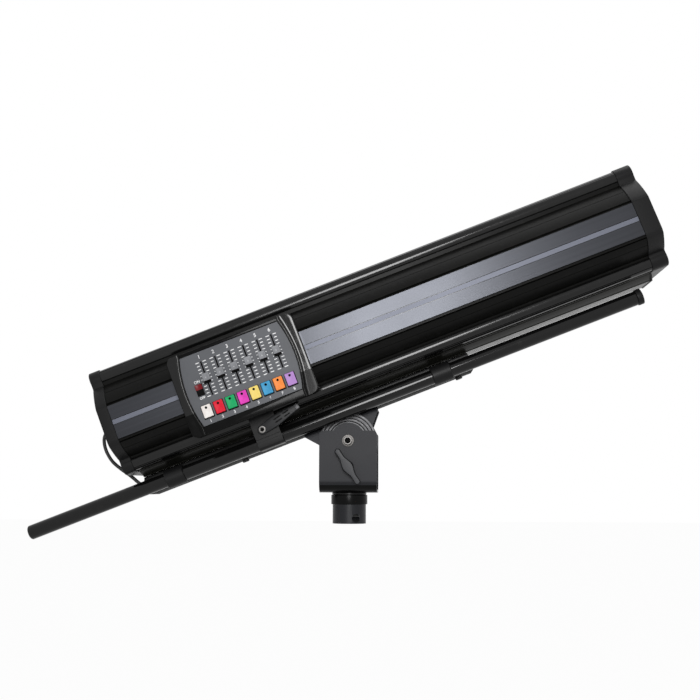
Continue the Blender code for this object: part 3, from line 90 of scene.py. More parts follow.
# Shader maths
class Value:
    # A socket that adds Math nodes to its tree when it meets an operator.
    def __init__(self, owner, socket):
        self.owner = owner
        self.socket = socket

    def joined(self, kind, first, second):
        return self.owner.value("ShaderNodeMath", {0: first, 1: second}, operation=kind)

    def __add__(self, other):
        return self.joined("ADD", self, other)

    def __sub__(self, other):
        return self.joined("SUBTRACT", self, other)

    def __rsub__(self, other):
        return self.joined("SUBTRACT", other, self)

    def __mul__(self, other):
        return self.joined("MULTIPLY", self, other)

    __radd__ = __add__
    __rmul__ = __mul__


class NodeTree:
    # The nodes of a material or a world, made by one method that also joins them up.
    def __init__(self, holder):
        holder.use_nodes = True
        self.tree = holder.node_tree
        self.tree.nodes.clear()

    def node(self, kind, inputs, **settings):
        made = self.tree.nodes.new(kind)
        for key, setting in settings.items():
            setattr(made, key, setting)
        for key, given in inputs.items():
            given = given.socket if isinstance(given, Value) else given
            if isinstance(given, bpy.types.NodeSocket):
                self.tree.links.new(given, made.inputs[key])
            else:
                made.inputs[key].default_value = given
        return made

    def value(self, kind, inputs, **settings):
        return Value(self, self.node(kind, inputs, **settings).outputs[0])

    def plainlySeen(self):
        # One for rays from the camera, off mirrors and through glass, and nought for those that carry light.
        path = self.node("ShaderNodeLightPath", {})
        seen = path.outputs["Is Camera Ray"]
        for kind in ("Is Glossy Ray", "Is Transmission Ray"):
            seen = self.value("ShaderNodeMath", {0: seen, 1: path.outputs[kind]}, operation="MAXIMUM")
        return seen


class Shade(NodeTree):
    # One material, whose patterns lie in Object coordinates.
    def __init__(self, name, colour, roughness, metallic=0.0, gloss=0.5, alpha=1.0):
        self.material = bpy.data.materials.new(name)
        super().__init__(self.material)
        self.colour = colour
        self.surface = self.node("ShaderNodeBsdfPrincipled", {
            "Base Color": (*colour, 1.0),
            "Roughness": roughness,
            "Metallic": metallic,
            "Specular IOR Level": gloss,
            "Alpha": alpha,
        })
        self.output = self.node("ShaderNodeOutputMaterial", {"Surface": self.surface.outputs[0]})
        self.place = self.node("ShaderNodeTexCoord", {}).outputs["Object"]

    def alongBarrel(self, scale):
        # Object coordinates turned into the head's own axes and stretched.
        turned = self.node("ShaderNodeMapping", {0: self.place, "Rotation": (0.0, layout["tilt"], 0.0)})
        return self.node("ShaderNodeMapping", {0: turned.outputs[0], "Scale": scale}).outputs[0]

    def noise(self, scale, detail, roughness=0.5, coordinates=None):
        place = coordinates or self.place
        inputs = {"Vector": place, "Scale": scale, "Detail": detail, "Roughness": roughness}
        return self.value("ShaderNodeTexNoise", inputs)

    def ramp(self, value, low, high, start=0.0, end=1.0):
        inputs = {"Value": value, "From Min": low, "From Max": high, "To Min": start, "To Max": end}
        return self.value("ShaderNodeMapRange", inputs, clamp=True)

    def mixColour(self, factor, first, second):
        first, second = ((*tone, 1.0) if isinstance(tone, tuple) else tone for tone in (first, second))
        mix = self.node("ShaderNodeMix", {"Factor": factor, 6: first, 7: second}, data_type="RGBA")
        return mix.outputs[2]

    def drift(self, value, low, high, dark, light):
        # The colour goes from one tint to another as the value goes from low to high.
        share = self.ramp(value, low, high)
        return self.mixColour(share, tinted(self.colour, dark), tinted(self.colour, light))

    def feed(self, name, given):
        given = given.socket if isinstance(given, Value) else given
        self.tree.links.new(given, self.surface.inputs[name])

    def bump(self, height, strength, distance=0.0005):
        made = self.node("ShaderNodeBump", {"Height": height, "Strength": strength, "Distance": distance})
        self.feed("Normal", made.outputs[0])


def tinted(colour, share):
    return tuple(min(1.0, c * share) for c in colour)


def powderPaint(name, colour, roughness, grain, lift, gloss):
    # Sprayed paint: a fine orange peel, cloudy gloss and a little settled dust.
    shade = Shade(name, colour, roughness, 0.0, gloss)
    cloud = shade.noise(9.0, 4.0)
    speck = shade.ramp(shade.noise(60.0, 6.0, 0.7), 0.56, 0.80)
    tone = shade.drift(cloud, 0.3, 0.7, 0.88, 1.14)
    shade.feed("Base Color", shade.mixColour(speck * 0.04, tone, (0.16, 0.155, 0.15)))
    wavy = shade.ramp(cloud, 0.25, 0.75, roughness - 0.035, roughness + 0.045)
    shade.feed("Roughness", wavy + speck * 0.07)
    shade.bump(shade.noise(grain, 2.0), lift)
    return shade.material


def drawnMetal(name, colour, roughness, metallic):
    # Extruded and anodised metal: faint die lines run along the barrel.
    shade = Shade(name, colour, roughness, metallic)
    lines = shade.noise(1.0, 2.0, coordinates=shade.alongBarrel((3.0, 1400.0, 1400.0)))
    cloud = shade.noise(6.0, 4.0)
    shade.feed("Base Color", shade.drift(lines, 0.3, 0.7, 0.93, 1.08))
    wavy = shade.ramp(cloud, 0.25, 0.75, roughness - 0.02, roughness + 0.03)
    shade.feed("Roughness", wavy + (lines - 0.5) * 0.08)
    shade.bump(lines * 0.7 + shade.noise(2400.0, 1.0) * 0.3, 0.05, 0.0003)
    return shade.material


def mouldedPlastic(name, colour, roughness, grain, lift, gloss):
    # Spark-eroded mould texture with worn, slightly glossier patches.
    shade = Shade(name, colour, roughness, 0.0, gloss)
    wear = shade.noise(14.0, 5.0)
    shade.feed("Base Color", shade.drift(wear, 0.35, 0.7, 0.9, 1.2))
    shade.feed("Roughness", shade.ramp(wear, 0.3, 0.7, roughness + 0.03, roughness - 0.05))
    shade.bump(shade.noise(grain, 3.0, 0.6), lift)
    return shade.material


def glossPlastic(name, colour, roughness, gloss):
    # Polished moulding: hairline scuffs and finger marks show only in the gloss.
    shade = Shade(name, colour, roughness, 0.0, gloss)
    smear = shade.noise(35.0, 5.0, 0.65)
    hair = shade.noise(1.0, 2.0, coordinates=shade.alongBarrel((160.0, 160.0, 2600.0)))
    mark = shade.ramp(smear, 0.5, 0.78)
    shade.feed("Roughness", roughness + mark * 0.10 + shade.ramp(hair, 0.6, 0.8, 0.0, 0.05))
    shade.feed("Base Color", shade.mixColour(mark, colour, tinted(colour, 1.35)))
    shade.bump(smear, 0.02, 0.0008)
    return shade.material


def turnedMetal(name, colour, roughness):
    # Plated or turned metal: fine tool marks and cloudy plating.
    shade = Shade(name, colour, roughness, 1.0)
    cloud = shade.noise(120.0, 4.0)
    shade.feed("Base Color", shade.drift(cloud, 0.3, 0.7, 0.82, 1.06))
    shade.feed("Roughness", shade.ramp(cloud, 0.3, 0.7, roughness - 0.04, roughness + 0.10))
    shade.bump(shade.noise(1800.0, 2.0), 0.06, 0.0002)
    return shade.material


def clearGlass(name, colour, roughness, alpha):
    # Coated glass: thin, with a little dust.
    shade = Shade(name, colour, roughness, alpha=alpha)
    speck = shade.ramp(shade.noise(220.0, 6.0, 0.7), 0.6, 0.8)
    shade.feed("Roughness", roughness + speck * 0.2)
    shade.feed("Base Color", shade.mixColour(speck, colour, (0.75, 0.74, 0.72)))
    return shade.material


def mattRubber(name, colour, roughness):
    # Cable jacket: matt, with a chalky bloom.
    shade = Shade(name, colour, roughness)
    bloom = shade.noise(45.0, 5.0)
    shade.feed("Base Color", shade.drift(bloom, 0.4, 0.75, 1.0, 1.9))
    shade.feed("Roughness", shade.ramp(bloom, 0.3, 0.7, roughness - 0.05, roughness + 0.08))
    shade.bump(shade.noise(2600.0, 2.0), 0.15, 0.0002)
    return shade.material


# Finishes
buttonColours = {
    "white": (0.80, 0.74, 0.71),
    "red": (0.70, 0.012, 0.035),
    "green": (0.008, 0.36, 0.115),
    "magenta": (0.68, 0.045, 0.43),
    "yellow": (0.86, 0.66, 0.17),
    "blue": (0.045, 0.29, 0.52),
    "orange": (0.88, 0.25, 0.045),
    "violet": (0.43, 0.23, 0.57),
}
keyRoughness = 0.34
keyGloss = 0.12
finishes = {  # each row holds what its own function asks for, in the same order
    powderPaint: {
        "bead": ("beadPaint", (0.0035, 0.0035, 0.0035), 0.15, 900.0, 0.015, 0.30),
        "facet": ("facetPaint", (0.0035, 0.0035, 0.0032), 0.34, 900.0, 0.02, 0.07),
        "cover": ("coverPaint", (0.006, 0.006, 0.006), 0.48, 900.0, 0.03, 0.08),
        "tray": ("trayPaint", (0.011, 0.011, 0.009), 0.30, 900.0, 0.03, 0.27),
        "beam": ("beamPaint", (0.006, 0.006, 0.006), 0.28, 900.0, 0.03, 0.18),
        "tube": ("tubePaint", (0.003, 0.003, 0.003), 0.11, 900.0, 0.012, 0.26),
        "yoke": ("yokePaint", (0.024, 0.0245, 0.028), 0.46, 700.0, 0.10, 0.16),
        "wing": ("wingPaint", (0.042, 0.043, 0.047), 0.42, 700.0, 0.10, 0.2),
        "face": ("facePrint", (0.090, 0.094, 0.104), 0.46, 1600.0, 0.05, 0.25),
        "print": ("whitePrint", (0.80, 0.80, 0.81), 0.55, 2500.0, 0.05, 0.2),
        "standTube": ("standTubePaint", (0.011, 0.0115, 0.014), 0.36, 900.0, 0.03, 0.2),
    },
    drawnMetal: {
        "sidePanel": ("sidePanelAnodised", (0.037, 0.0385, 0.0435), 0.295, 1.0),
        "stripe": ("stripeGrey", (0.105, 0.113, 0.145), 0.45, 0.3),
    },
    mouldedPlastic: {
        "cap": ("capPlastic", (0.007, 0.007, 0.0072), 0.42, 1500.0, 0.08, 0.15),
        "lever": ("leverPlastic", (0.012, 0.0125, 0.014), 0.36, 1500.0, 0.08, 0.15),
        "knob": ("knobGrey", (0.24, 0.245, 0.26), 0.42, 2200.0, 0.1, 0.25),
        "slot": ("slotBlack", (0.002, 0.002, 0.002), 0.6, 1500.0, 0.22, 0.04),
    },
    glossPlastic: {
        "gloss": ("cheekGloss", (0.003, 0.003, 0.003), 0.08, 0.30),
        "collar": ("collarGloss", (0.0025, 0.0025, 0.0025), 0.20, 0.08),
        "rockerRed": ("rockerRedKey", (0.16, 0.008, 0.012), 0.30, 0.15),
        **{name: (name + "Key", tone, keyRoughness, keyGloss) for name, tone in buttonColours.items()},
    },
    turnedMetal: {
        "zinc": ("zincPlate", (0.115, 0.110, 0.106), 0.46),
        "steel": ("boltSteel", (0.150, 0.145, 0.140), 0.42),
        "bare": ("bareAluminium", (0.55, 0.56, 0.57), 0.38),
        "dark": ("darkAluminium", (0.06, 0.06, 0.062), 0.40),
        "mirror": ("dishMirror", (0.85, 0.85, 0.84), 0.06),
        "boltBlack": ("boltBlackened", (0.05, 0.05, 0.05), 0.35),
    },
    clearGlass: {"glass": ("lensGlass", (0.90, 0.94, 0.95), 0.03, 0.30)},
    mattRubber: {"rubber": ("cableRubber", (0.013, 0.013, 0.013), 0.55)},
}
paints = {key: make(*row) for make, rows in finishes.items() for key, row in rows.items()}
print("finishes made:", len(paints))


# Surfaces worked out as arrays
def headToRow(points):
    # Turns head coordinates by the rest tilt about the pivot and lifts them to its height.
    c, s = math.cos(layout["tilt"]), math.sin(layout["tilt"])
    x, y, z = points[..., 0], points[..., 1], points[..., 2]
    return np.stack([x * c - z * s, y, x * s + z * c + layout["pivotHeight"]], -1)


def barrelToRow(points):
    # The same, for coordinates whose zero height is the barrel's own axis.
    return headToRow(points + np.array([0.0, 0.0, layout["axisHeight"]]))


def yokeToRow(points):
    return points + np.array([0.0, 0.0, layout["pivotHeight"]])


def standToRow(points):
    return points


def arcPoints(centre, radius, start, end, count):
    # Points on a circle from one angle to another, both in degrees.
    angle = np.radians(np.linspace(start, end, count))
    return np.stack([centre[0] + radius * np.cos(angle), centre[1] + radius * np.sin(angle)], -1)


def roundedLoop(low, high, radius, count=7):
    # A rectangle's outline with quarter circles for corners, anticlockwise.
    left, right = low[0] + radius, high[0] - radius
    under, over = low[1] + radius, high[1] - radius
    spots = ((right, over), (left, over), (left, under), (right, under))
    corners = [arcPoints(spot, radius, 90 * k, 90 * k + 90, count) for k, spot in enumerate(spots)]
    return np.concatenate(corners)


def centredLoop(x, z, wide, tall, radius, count):
    return roundedLoop((x - wide / 2, z - tall / 2), (x + wide / 2, z + tall / 2), radius, count)


def offsetLoop(loop, inset):
    # Each point moves inwards along the mean of its two edges' normals, lengthened at corners.
    run = np.roll(loop, -1, 0) - loop
    run = run / np.maximum(np.linalg.norm(run, axis=1, keepdims=True), 1e-9)
    normal = np.stack([-run[:, 1], run[:, 0]], -1)
    mean = normal + np.roll(normal, 1, 0)
    mean /= np.maximum(np.linalg.norm(mean, axis=1, keepdims=True), 1e-9)
    reach = 1.0 / np.maximum((mean * normal).sum(1, keepdims=True), 0.5)
    return loop + mean * reach * inset


def shrunk(loop, middle, share):
    return middle + (loop - middle) * share


def turnedLoop(loop, degrees, place):
    # Section points turned about the origin, then carried to their place.
    c, n = math.cos(math.radians(degrees)), math.sin(math.radians(degrees))
    x, z = loop[:, 0], loop[:, 1]
    return np.stack([x * c - z * n + place[0], x * n + z * c + place[1]], -1)


def edgeLevels(start, end, edge, steps=4):
    # Depths and insets of a slab whose two rims are quarter rounds.
    angle = np.linspace(0, math.pi / 2, steps + 1)
    way = 1.0 if end > start else -1.0
    drop, inset = edge * (1 - np.cos(angle)), edge * (1 - np.sin(angle))
    first = np.stack([start + way * drop, inset], -1)
    last = np.stack([end - way * drop, inset], -1)[::-1]
    return np.concatenate([first, last])


def ordered(axis, along, first, second):
    # The distance along an axis takes its own place among the other two coordinates.
    orders = {"X": (along, first, second), "Y": (first, along, second), "Z": (first, second, along)}
    return np.stack(orders[axis], -1)


def placed(loop, axis, along):
    # Section points set at a distance along x, y or z.
    return ordered(axis, np.full(len(loop), along), loop[:, 0], loop[:, 1])


def slabGrid(loop, axis, start, end, edge, steps=4):
    # The outline carried through the slab's depth, drawn in at both rims.
    levels = edgeLevels(start, end, edge, steps)
    return np.stack([placed(offsetLoop(loop, inset), axis, along) for along, inset in levels])


def turnedGrid(profile, axis, centre, sides):
    # A profile of (radius, distance) carried round its axis.
    angle = np.linspace(0, 2 * math.pi, sides, endpoint=False)
    first = profile[:, :1] * np.cos(angle)
    second = profile[:, :1] * np.sin(angle)
    along = np.repeat(profile[:, 1:], sides, 1)
    return ordered(axis, along, first, second) + np.asarray(centre, float)


def softProfile(points, radius, steps=4):
    # An open run of points whose inner corners become short quadratic curves.
    points = np.asarray(points, float)
    found = [points[:1]]
    share = np.linspace(0, 1, steps + 1)[:, None]
    for before, corner, after in zip(points[:-2], points[1:-1], points[2:]):
        toBefore, toAfter = before - corner, after - corner
        lengthBefore, lengthAfter = np.linalg.norm(toBefore), np.linalg.norm(toAfter)
        reach = min(radius, lengthBefore * 0.45, lengthAfter * 0.45)
        start = corner + toBefore / lengthBefore * reach
        end = corner + toAfter / lengthAfter * reach
        found.append((1 - share) ** 2 * start + 2 * share * (1 - share) * corner + share**2 * end)
    found.append(points[-1:])
    return np.concatenate(found)


class Form:
    # Gathers grids of points into one mesh, then makes the object and says what it rides on.
    def __init__(self, place=standToRow):
        self.place = place
        self.points = []
        self.faces = []
        self.tones = []
        self.count = 0

    def add(self, grid, tone=0, wrapRows=False, capStart=True, capEnd=True):
        # Rows of points become quads; each row is closed on itself.
        rows, columns = grid.shape[:2]
        index = np.arange(rows * columns).reshape(rows, columns) + self.count
        if wrapRows:
            index = np.concatenate([index, index[:1]])
        index = np.concatenate([index, index[:, :1]], 1)
        quads = np.stack([index[:-1, :-1], index[:-1, 1:], index[1:, 1:], index[1:, :-1]], -1)
        faces = quads.reshape(-1, 4).tolist()
        if capStart and not wrapRows:
            faces.append(index[0, :-1][::-1].tolist())
        if capEnd and not wrapRows:
            faces.append(index[-1, :-1].tolist())
        self.points.append(grid.reshape(-1, 3))
        self.faces += faces
        self.tones += [tone] * len(faces)
        self.count += rows * columns
        return self

    def slab(self, loop, axis, start, end, edge, steps=4, tone=0):
        return self.add(slabGrid(loop, axis, start, end, edge, steps), tone)

    def turn(self, profile, radius, axis, centre, sides, tone=0, steps=4, capped=False):
        grid = turnedGrid(softProfile(profile, radius, steps), axis, centre, sides)
        return self.add(grid, tone, capStart=capped, capEnd=capped)

    def build(self, name, materials, body, replaced=(), slotName=None, sharp=32.0):
        mesh = bpy.data.meshes.new(name)
        points = self.place(np.concatenate(self.points))
        mesh.from_pydata(points.tolist(), [], self.faces)
        for material in materials:
            mesh.materials.append(paints[material])
        mesh.polygons.foreach_set("material_index", np.array(self.tones, np.int32))
        cleaned = bmesh.new()
        cleaned.from_mesh(mesh)
        bmesh.ops.remove_doubles(cleaned, verts=cleaned.verts, dist=1e-6)
        bmesh.ops.recalc_face_normals(cleaned, faces=cleaned.faces)
        cleaned.to_mesh(mesh)
        cleaned.free()
        mesh.shade_smooth()
        mesh.set_sharp_from_angle(angle=math.radians(sharp))
        made = linked(name, mesh)
        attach(made, body)
        if replaced:
            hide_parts(*replaced)
        return made


def softenEdges(made, width, segments, degrees):
    # The evaluated mesh gets its sharp edges broken by a small bevel.
    bevel = made.modifiers.new("softEdges", "BEVEL")
    bevel.width = width
    bevel.segments = segments
    bevel.limit_method = "ANGLE"
    bevel.angle_limit = math.radians(degrees)


# Cable
cableSet = {
    "radius": 0.0037,
    "step": 0.0035,
    "y": -0.020,
    "route": (
        (-0.468, 0.2095),
        (-0.478, 0.2065),
        (-0.4875, 0.1975),
        (-0.4925, 0.1825),
        (-0.4930, 0.1640),
        (-0.4880, 0.1420),
        (-0.4770, 0.1220),
        (-0.4650, 0.1045),
        (-0.4580, 0.0930),
        (-0.4520, 0.0820),
        (-0.4460, 0.0735),
        (-0.4400, 0.0675),
        (-0.4340, 0.0645),
    ),
}


def smoothRoute(knots, step):
    # A Catmull-Rom curve through the knots, cut into equal steps of arc length.
    padded = np.concatenate([knots[:1], knots, knots[-1:]])
    s = np.linspace(0, 1, 20, endpoint=False)[:, None, None]
    p0, p1, p2, p3 = (padded[i : len(knots) - 1 + i] for i in range(4))
    square = (2 * p0 - 5 * p1 + 4 * p2 - p3) * s**2
    cube = (3 * p1 - p0 - 3 * p2 + p3) * s**3
    curve = 2 * p1 + (p2 - p0) * s + square + cube
    dense = np.concatenate([0.5 * curve.transpose(1, 0, 2).reshape(-1, 3), knots[-1:]])
    length = np.concatenate([[0], np.cumsum(np.linalg.norm(np.diff(dense, axis=0), axis=1))])
    wanted = np.linspace(0, length[-1], max(2, round(length[-1] / step)) + 1)
    return np.stack([np.interp(wanted, length, dense[:, k]) for k in range(3)], -1), length[-1]


def makeCable(s):
    # A round cord along the route, which lies in one upright plane of the head.
    route = np.array([(x, s["y"], z) for x, z in s["route"]])
    points, length = smoothRoute(route, s["step"])
    points = headToRow(points)
    curve = bpy.data.curves.new("linkCable", "CURVE")
    curve.dimensions = "3D"
    curve.bevel_depth = s["radius"]
    curve.bevel_resolution = 6
    curve.use_fill_caps = True
    spline = curve.splines.new("POLY")
    spline.points.add(len(points) - 1)
    spline.points.foreach_set("co", np.concatenate([points, np.ones((len(points), 1))], 1).ravel())
    spline.use_smooth = True
    curve.materials.append(paints["rubber"])
    cable = linked("linkCable", curve)
    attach(cable, "head")
    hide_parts("link_cable")
    return length


print("link cable, metres:", round(makeCable(cableSet), 3))


# Barrel
barrelSet = {
    "rear": -0.4314,
    "front": 0.7157,
    "beadRadius": 0.0164,
    "beadZ": 0.0944,
    "upperBeadY": 0.098,
    "lowerBeadY": 0.088,
    "panelY": 0.149,
    "panelTop": 0.0275,
    "panelLow": -0.0435,
    "upperFacet": (0.112, 0.0745),
    "upperShoulder": (0.1462, 0.0335),
    "lowerShoulder": (0.1465, -0.0515),
    "lowerFacet": (0.104, -0.0800),
    "crown": 0.0022,
    "stripe": (-0.0025, -0.0127),
    "stripeDepth": 0.0008,
    "gutter": 0.0020,
    "wall": 0.0045,
    "lineDepth": 0.0009,
    "lineWidth": 0.0011,
}


def crownedRun(start, end, crown, count):
    # A straight run bowed outwards by a parabola.
    start, end = np.asarray(start, float), np.asarray(end, float)
    share = np.linspace(0, 1, count)[:, None]
    run = end - start
    out = np.array([-run[1], run[0]]) / np.linalg.norm(run)
    return start + run * share + out * crown * 4 * share * (1 - share)


def scored(run, share, width, depth):
    # A fine groove cut across a run of section points, a share of the way along it.
    length = np.concatenate([[0], np.cumsum(np.linalg.norm(np.diff(run, axis=0), axis=1))])
    marks = share * length[-1] + np.array([-0.5, -0.34, 0.34, 0.5]) * width
    place = np.stack([np.interp(marks, length, run[:, k]) for k in range(2)], -1)
    along = place[-1] - place[0]
    inward = np.array([along[1], -along[0]]) / np.linalg.norm(along)
    place[1:3] += inward * depth
    return np.concatenate([run[length < marks[0]], place, run[length > marks[3]]])


def sideRuns(s):
    # The runs of one side's section, top bead to lower bead, each with the number of its finish.
    fine = (s["lineWidth"], s["lineDepth"])
    broad = (s["lineWidth"] * 1.6, s["lineDepth"] * 1.4)
    bead = scored(arcPoints((s["upperBeadY"], s["beadZ"]), s["beadRadius"], 150, -30, 40), 0.60, *broad)
    foot = scored(arcPoints((s["lowerBeadY"], -s["beadZ"]), s["beadRadius"], 30, -150, 40), 0.40, *broad)
    upper = scored(crownedRun(s["upperFacet"], s["upperShoulder"], s["crown"], 16), 0.44, *fine)
    lower = scored(crownedRun(s["lowerShoulder"], s["lowerFacet"], s["crown"], 14), 0.36, *fine)
    y, top, low, deep = s["panelY"], s["panelTop"], s["panelLow"], s["gutter"]
    sunk, edge = y - s["stripeDepth"], y - 0.0014
    high, under = s["stripe"]
    (facetY, facetZ), (shoulderY, shoulderZ) = s["upperFacet"], s["upperShoulder"]
    (footY, footZ), (lowY, lowZ) = s["lowerShoulder"], s["lowerFacet"]
    return [(np.array(run, float), tone) for run, tone in (
        (bead, 0),
        ([(bead[-1, 0] - deep, bead[-1, 1] - 0.002), (facetY - deep, facetZ + 0.002)], 1),
        (upper, 1),
        ([(shoulderY - deep, shoulderZ - 0.0022), (y - deep, top + 0.0008), (y - 0.0004, top + 0.0003)], 1),
        ([(y, top - 0.0004), (y, high + 0.0009)], 2),
        ([(y, high + 0.0007), (edge, high + 0.0005), (edge, high - 0.0002)], 0),
        ([(sunk, high - 0.0004), (sunk, under + 0.0004)], 3),
        ([(edge, under + 0.0002), (edge, under - 0.0005), (y, under - 0.0007)], 0),
        ([(y, under - 0.0009), (y, low + 0.0004)], 2),
        ([(y - 0.0004, low), (y - deep, low - 0.0008), (y - deep, low - 0.0022), (y - 0.0002, low - 0.0030),
          (y - 0.0002, low - 0.0048), (y - deep, low - 0.0056), (footY - deep, footZ + 0.0012)], 1),
        (lower, 1),
        ([(lowY - deep, lowZ - 0.0010), (foot[0, 0] - deep, foot[0, 1] + 0.0010)], 1),
        (foot, 0),
    )]


def makeShell(s, name, node, way):
    # The outside of the section carried along the barrel, with a plain inner face.
    runs = sideRuns(s)
    outer = np.concatenate([run for run, _ in runs])
    tones = np.concatenate([np.full(len(run), tone) for run, tone in runs])
    wall = s["wall"]
    bead = arcPoints((s["upperBeadY"], s["beadZ"]), s["beadRadius"] - wall, 150, -20, 12)
    foot = arcPoints((s["lowerBeadY"], -s["beadZ"]), s["beadRadius"] - wall, 20, -150, 12)
    middle = [s["upperFacet"], s["upperShoulder"], (s["panelY"], s["panelTop"]), (s["panelY"], s["panelLow"])]
    middle = np.array(middle + [s["lowerShoulder"], s["lowerFacet"]]) - np.array([wall, 0.0])
    inner = np.concatenate([bead, middle, foot])[::-1]
    loop = np.concatenate([outer, inner]) * np.array([way, 1.0])
    stations = (s["rear"], s["rear"] + 0.0006, s["front"] - 0.0006, s["front"])
    form = Form(barrelToRow).add(np.stack([placed(loop, "X", x) for x in stations]))
    bands = np.concatenate([tones, np.zeros(len(inner), int)])
    form.tones[: len(loop) * 3] = np.tile(bands, 3).tolist()
    form.build(name, ["bead", "facet", "sidePanel", "stripe"], "head", [node], "side_panel_paint", 24.0)


makeShell(barrelSet, "nearShell", "right_shell", -1.0)
makeShell(barrelSet, "farShell", "left_shell", 1.0)

coverSet = {
    "z": 0.1028,
    "wall": 0.003,
    "ridge": 0.0035,
    "edge": 0.0005,
    "flange": 0.006,
    "rise": (0.012, 0.014),
}


def betweenBeads(b, y):
    # How far a plate reaches sideways between the beads whose centres lie at y.
    return y - b["beadRadius"] * math.cos(math.radians(30)) - layout["gap"]


def makeCover(s, b):
    # A shallow tray-shaped section with a raised middle, carried along the barrel.
    half = betweenBeads(b, b["upperBeadY"])
    z, top = s["z"], s["z"] + s["ridge"]
    start, end = s["rise"]
    right = [(half, z - s["wall"]), (half, z - s["edge"]), (half - s["flange"], z), (half - start, z)]
    right = softProfile(right + [(half - end, top), (0.0, top)], 0.0012)
    loop = np.concatenate([right[:-1], (right * flip)[::-1][1:]])
    grid = np.stack([placed(loop, "X", x) for x in (b["rear"], b["front"])])
    Form(barrelToRow).add(grid).build("topCover", ["cover"], "head", ["top_cover"], "satin_black_paint", 24.0)


makeCover(coverSet, barrelSet)

traySet = {
    "top": -0.1035,
    "edge": -0.1120,
    "low": -0.1255,
    "sheet": 0.003,
    "slopeY": 0.0635,
    "flatY": 0.0445,
    "scores": (0.029, 0.013),
    "footX": (-0.2218, 0.268),
    "footHalf": (0.030, 0.032),
    "footLow": -0.1267,
}


def makeTray(s, b):
    # The underside's section: edge strips, a groove, a slope, a groove and a flat keel, mirrored.
    half = betweenBeads(b, b["lowerBeadY"])
    edge, flat, low, strip = s["slopeY"], s["flatY"], s["low"], s["edge"]
    side = [(half, s["top"]), (half, strip + 0.003), (half - 0.003, strip), (edge + 0.0016, strip)]
    side += [(edge + 0.0008, strip + 0.0024), (edge - 0.0012, strip + 0.0012)]
    side += [(edge - 0.0022, strip - 0.0016)]
    side += [(flat + 0.0016, low + 0.0024), (flat + 0.0006, low + 0.0030), (flat - 0.0010, low + 0.0016)]
    side += [(flat - 0.0014, low)]
    for y in s["scores"]:
        side += [(y + 0.0007, low), (y + 0.0004, low + 0.0007), (y - 0.0004, low + 0.0007), (y - 0.0007, low)]
    side = softProfile(side + [(0.0, low)], 0.0005, 2)[:-1]
    inside = np.array([(flat - 0.0024, low + s["sheet"]), (edge - 0.0080, s["top"])])
    loop = np.concatenate([side, (side * flip)[::-1], (inside * flip)[::-1], inside])
    form = Form(barrelToRow).add(np.stack([placed(loop, "X", x) for x in (b["rear"], b["front"])]))
    for x in s["footX"]:  # cast feet under the two bolts
        halfX, halfY = s["footHalf"]
        foot = roundedLoop((x - halfX, -halfY), (x + halfX, halfY), 0.004)
        form.slab(foot, "Z", s["footLow"], low + s["sheet"] * 0.5, 0.0004)
    form.build("bottomTray", ["tray"], "head", ["bottom_tray"], "satin_black_paint", 24.0)


makeTray(traySet, barrelSet)

capSet = {
    "proud": 0.0022,
    "rear": 0.0236,
    "front": 0.0361,
    "wall": 0.006,
    "edge": 0.0026,
    "seam": 0.0006,
    "lip": 0.004,
    "frontWindow": (0.088, 0.008, 0.002),
    "rearWindow": (0.040, 0.012, 0.0015),
    "fan": (0.045, 0.0),
    "slotStep": 0.0118,
    "slotHalf": 0.0028,
    "hub": 0.009,
    "axle": 0.0039,
}


def barrelOutline(b, growth):
    # The whole closed outline, anticlockwise, grown outwards.
    side = np.concatenate([
        arcPoints((b["upperBeadY"], b["beadZ"]), b["beadRadius"], 90, -30, 18),
        crownedRun(b["upperFacet"], b["upperShoulder"], b["crown"], 10),
        [(b["panelY"], b["panelTop"]), (b["panelY"], b["panelLow"])],
        crownedRun(b["lowerShoulder"], b["lowerFacet"], b["crown"], 10),
        arcPoints((b["lowerBeadY"], -b["beadZ"]), b["beadRadius"], 30, -90, 18),
    ])
    return offsetLoop(np.concatenate([side * flip, side[::-1]]), -growth)


def densified(loop, step):
    # Straight runs are cut up, so that no gap between points is longer than the step.
    pieces = []
    for start, end in zip(loop, np.roll(loop, -1, 0)):
        cuts = int(np.linalg.norm(end - start) / step) + 2
        pieces.append(start + (end - start) * np.linspace(0, 1, cuts)[:-1, None])
    return np.concatenate(pieces)


def byAngle(loop, count, centre):
    # The outline read at even angles round a point inside it.
    loop = densified(loop, 0.0008) - np.asarray(centre)
    angle = np.arctan2(loop[:, 1], loop[:, 0])
    order = np.argsort(angle)
    radius = np.hypot(loop[:, 0], loop[:, 1])[order]
    wanted = np.linspace(-math.pi, math.pi, count, endpoint=False)
    found = np.interp(wanted, angle[order], radius, period=2 * math.pi)
    return np.stack([found * np.cos(wanted), found * np.sin(wanted)], -1) + np.asarray(centre), wanted


def capForm(s, b, near, far, centre, window):
    # The barrel's outline as a dish with a rounded rim and a lipped round window, read at the same angles.
    radius, rim, soft = window
    way = 1.0 if far > near else -1.0
    outer, wanted = byAngle(barrelOutline(b, s["proud"]), 480, centre)
    inner, _ = byAngle(barrelOutline(b, -b["wall"]), 480, centre)
    circle = np.stack([np.cos(wanted), np.sin(wanted)], -1)
    back = far - way * s["wall"]
    loops = [placed(inner, "X", near), placed(offsetLoop(outer, s["seam"]), "X", near)]
    loops.append(placed(outer, "X", near + way * s["seam"]))
    for along, inset in edgeLevels(near, far, s["edge"], 6)[7:]:
        loops.append(placed(offsetLoop(outer, inset), "X", along))
    lipped = [(radius + rim, far), (radius, far), (radius, back), (radius + 0.004, back)]
    for reach, along in softProfile(lipped, soft):
        loops.append(placed(circle * reach + np.asarray(centre), "X", along))
    loops.append(placed(inner, "X", back))
    return Form(barrelToRow).add(np.stack(loops), wrapRows=True)


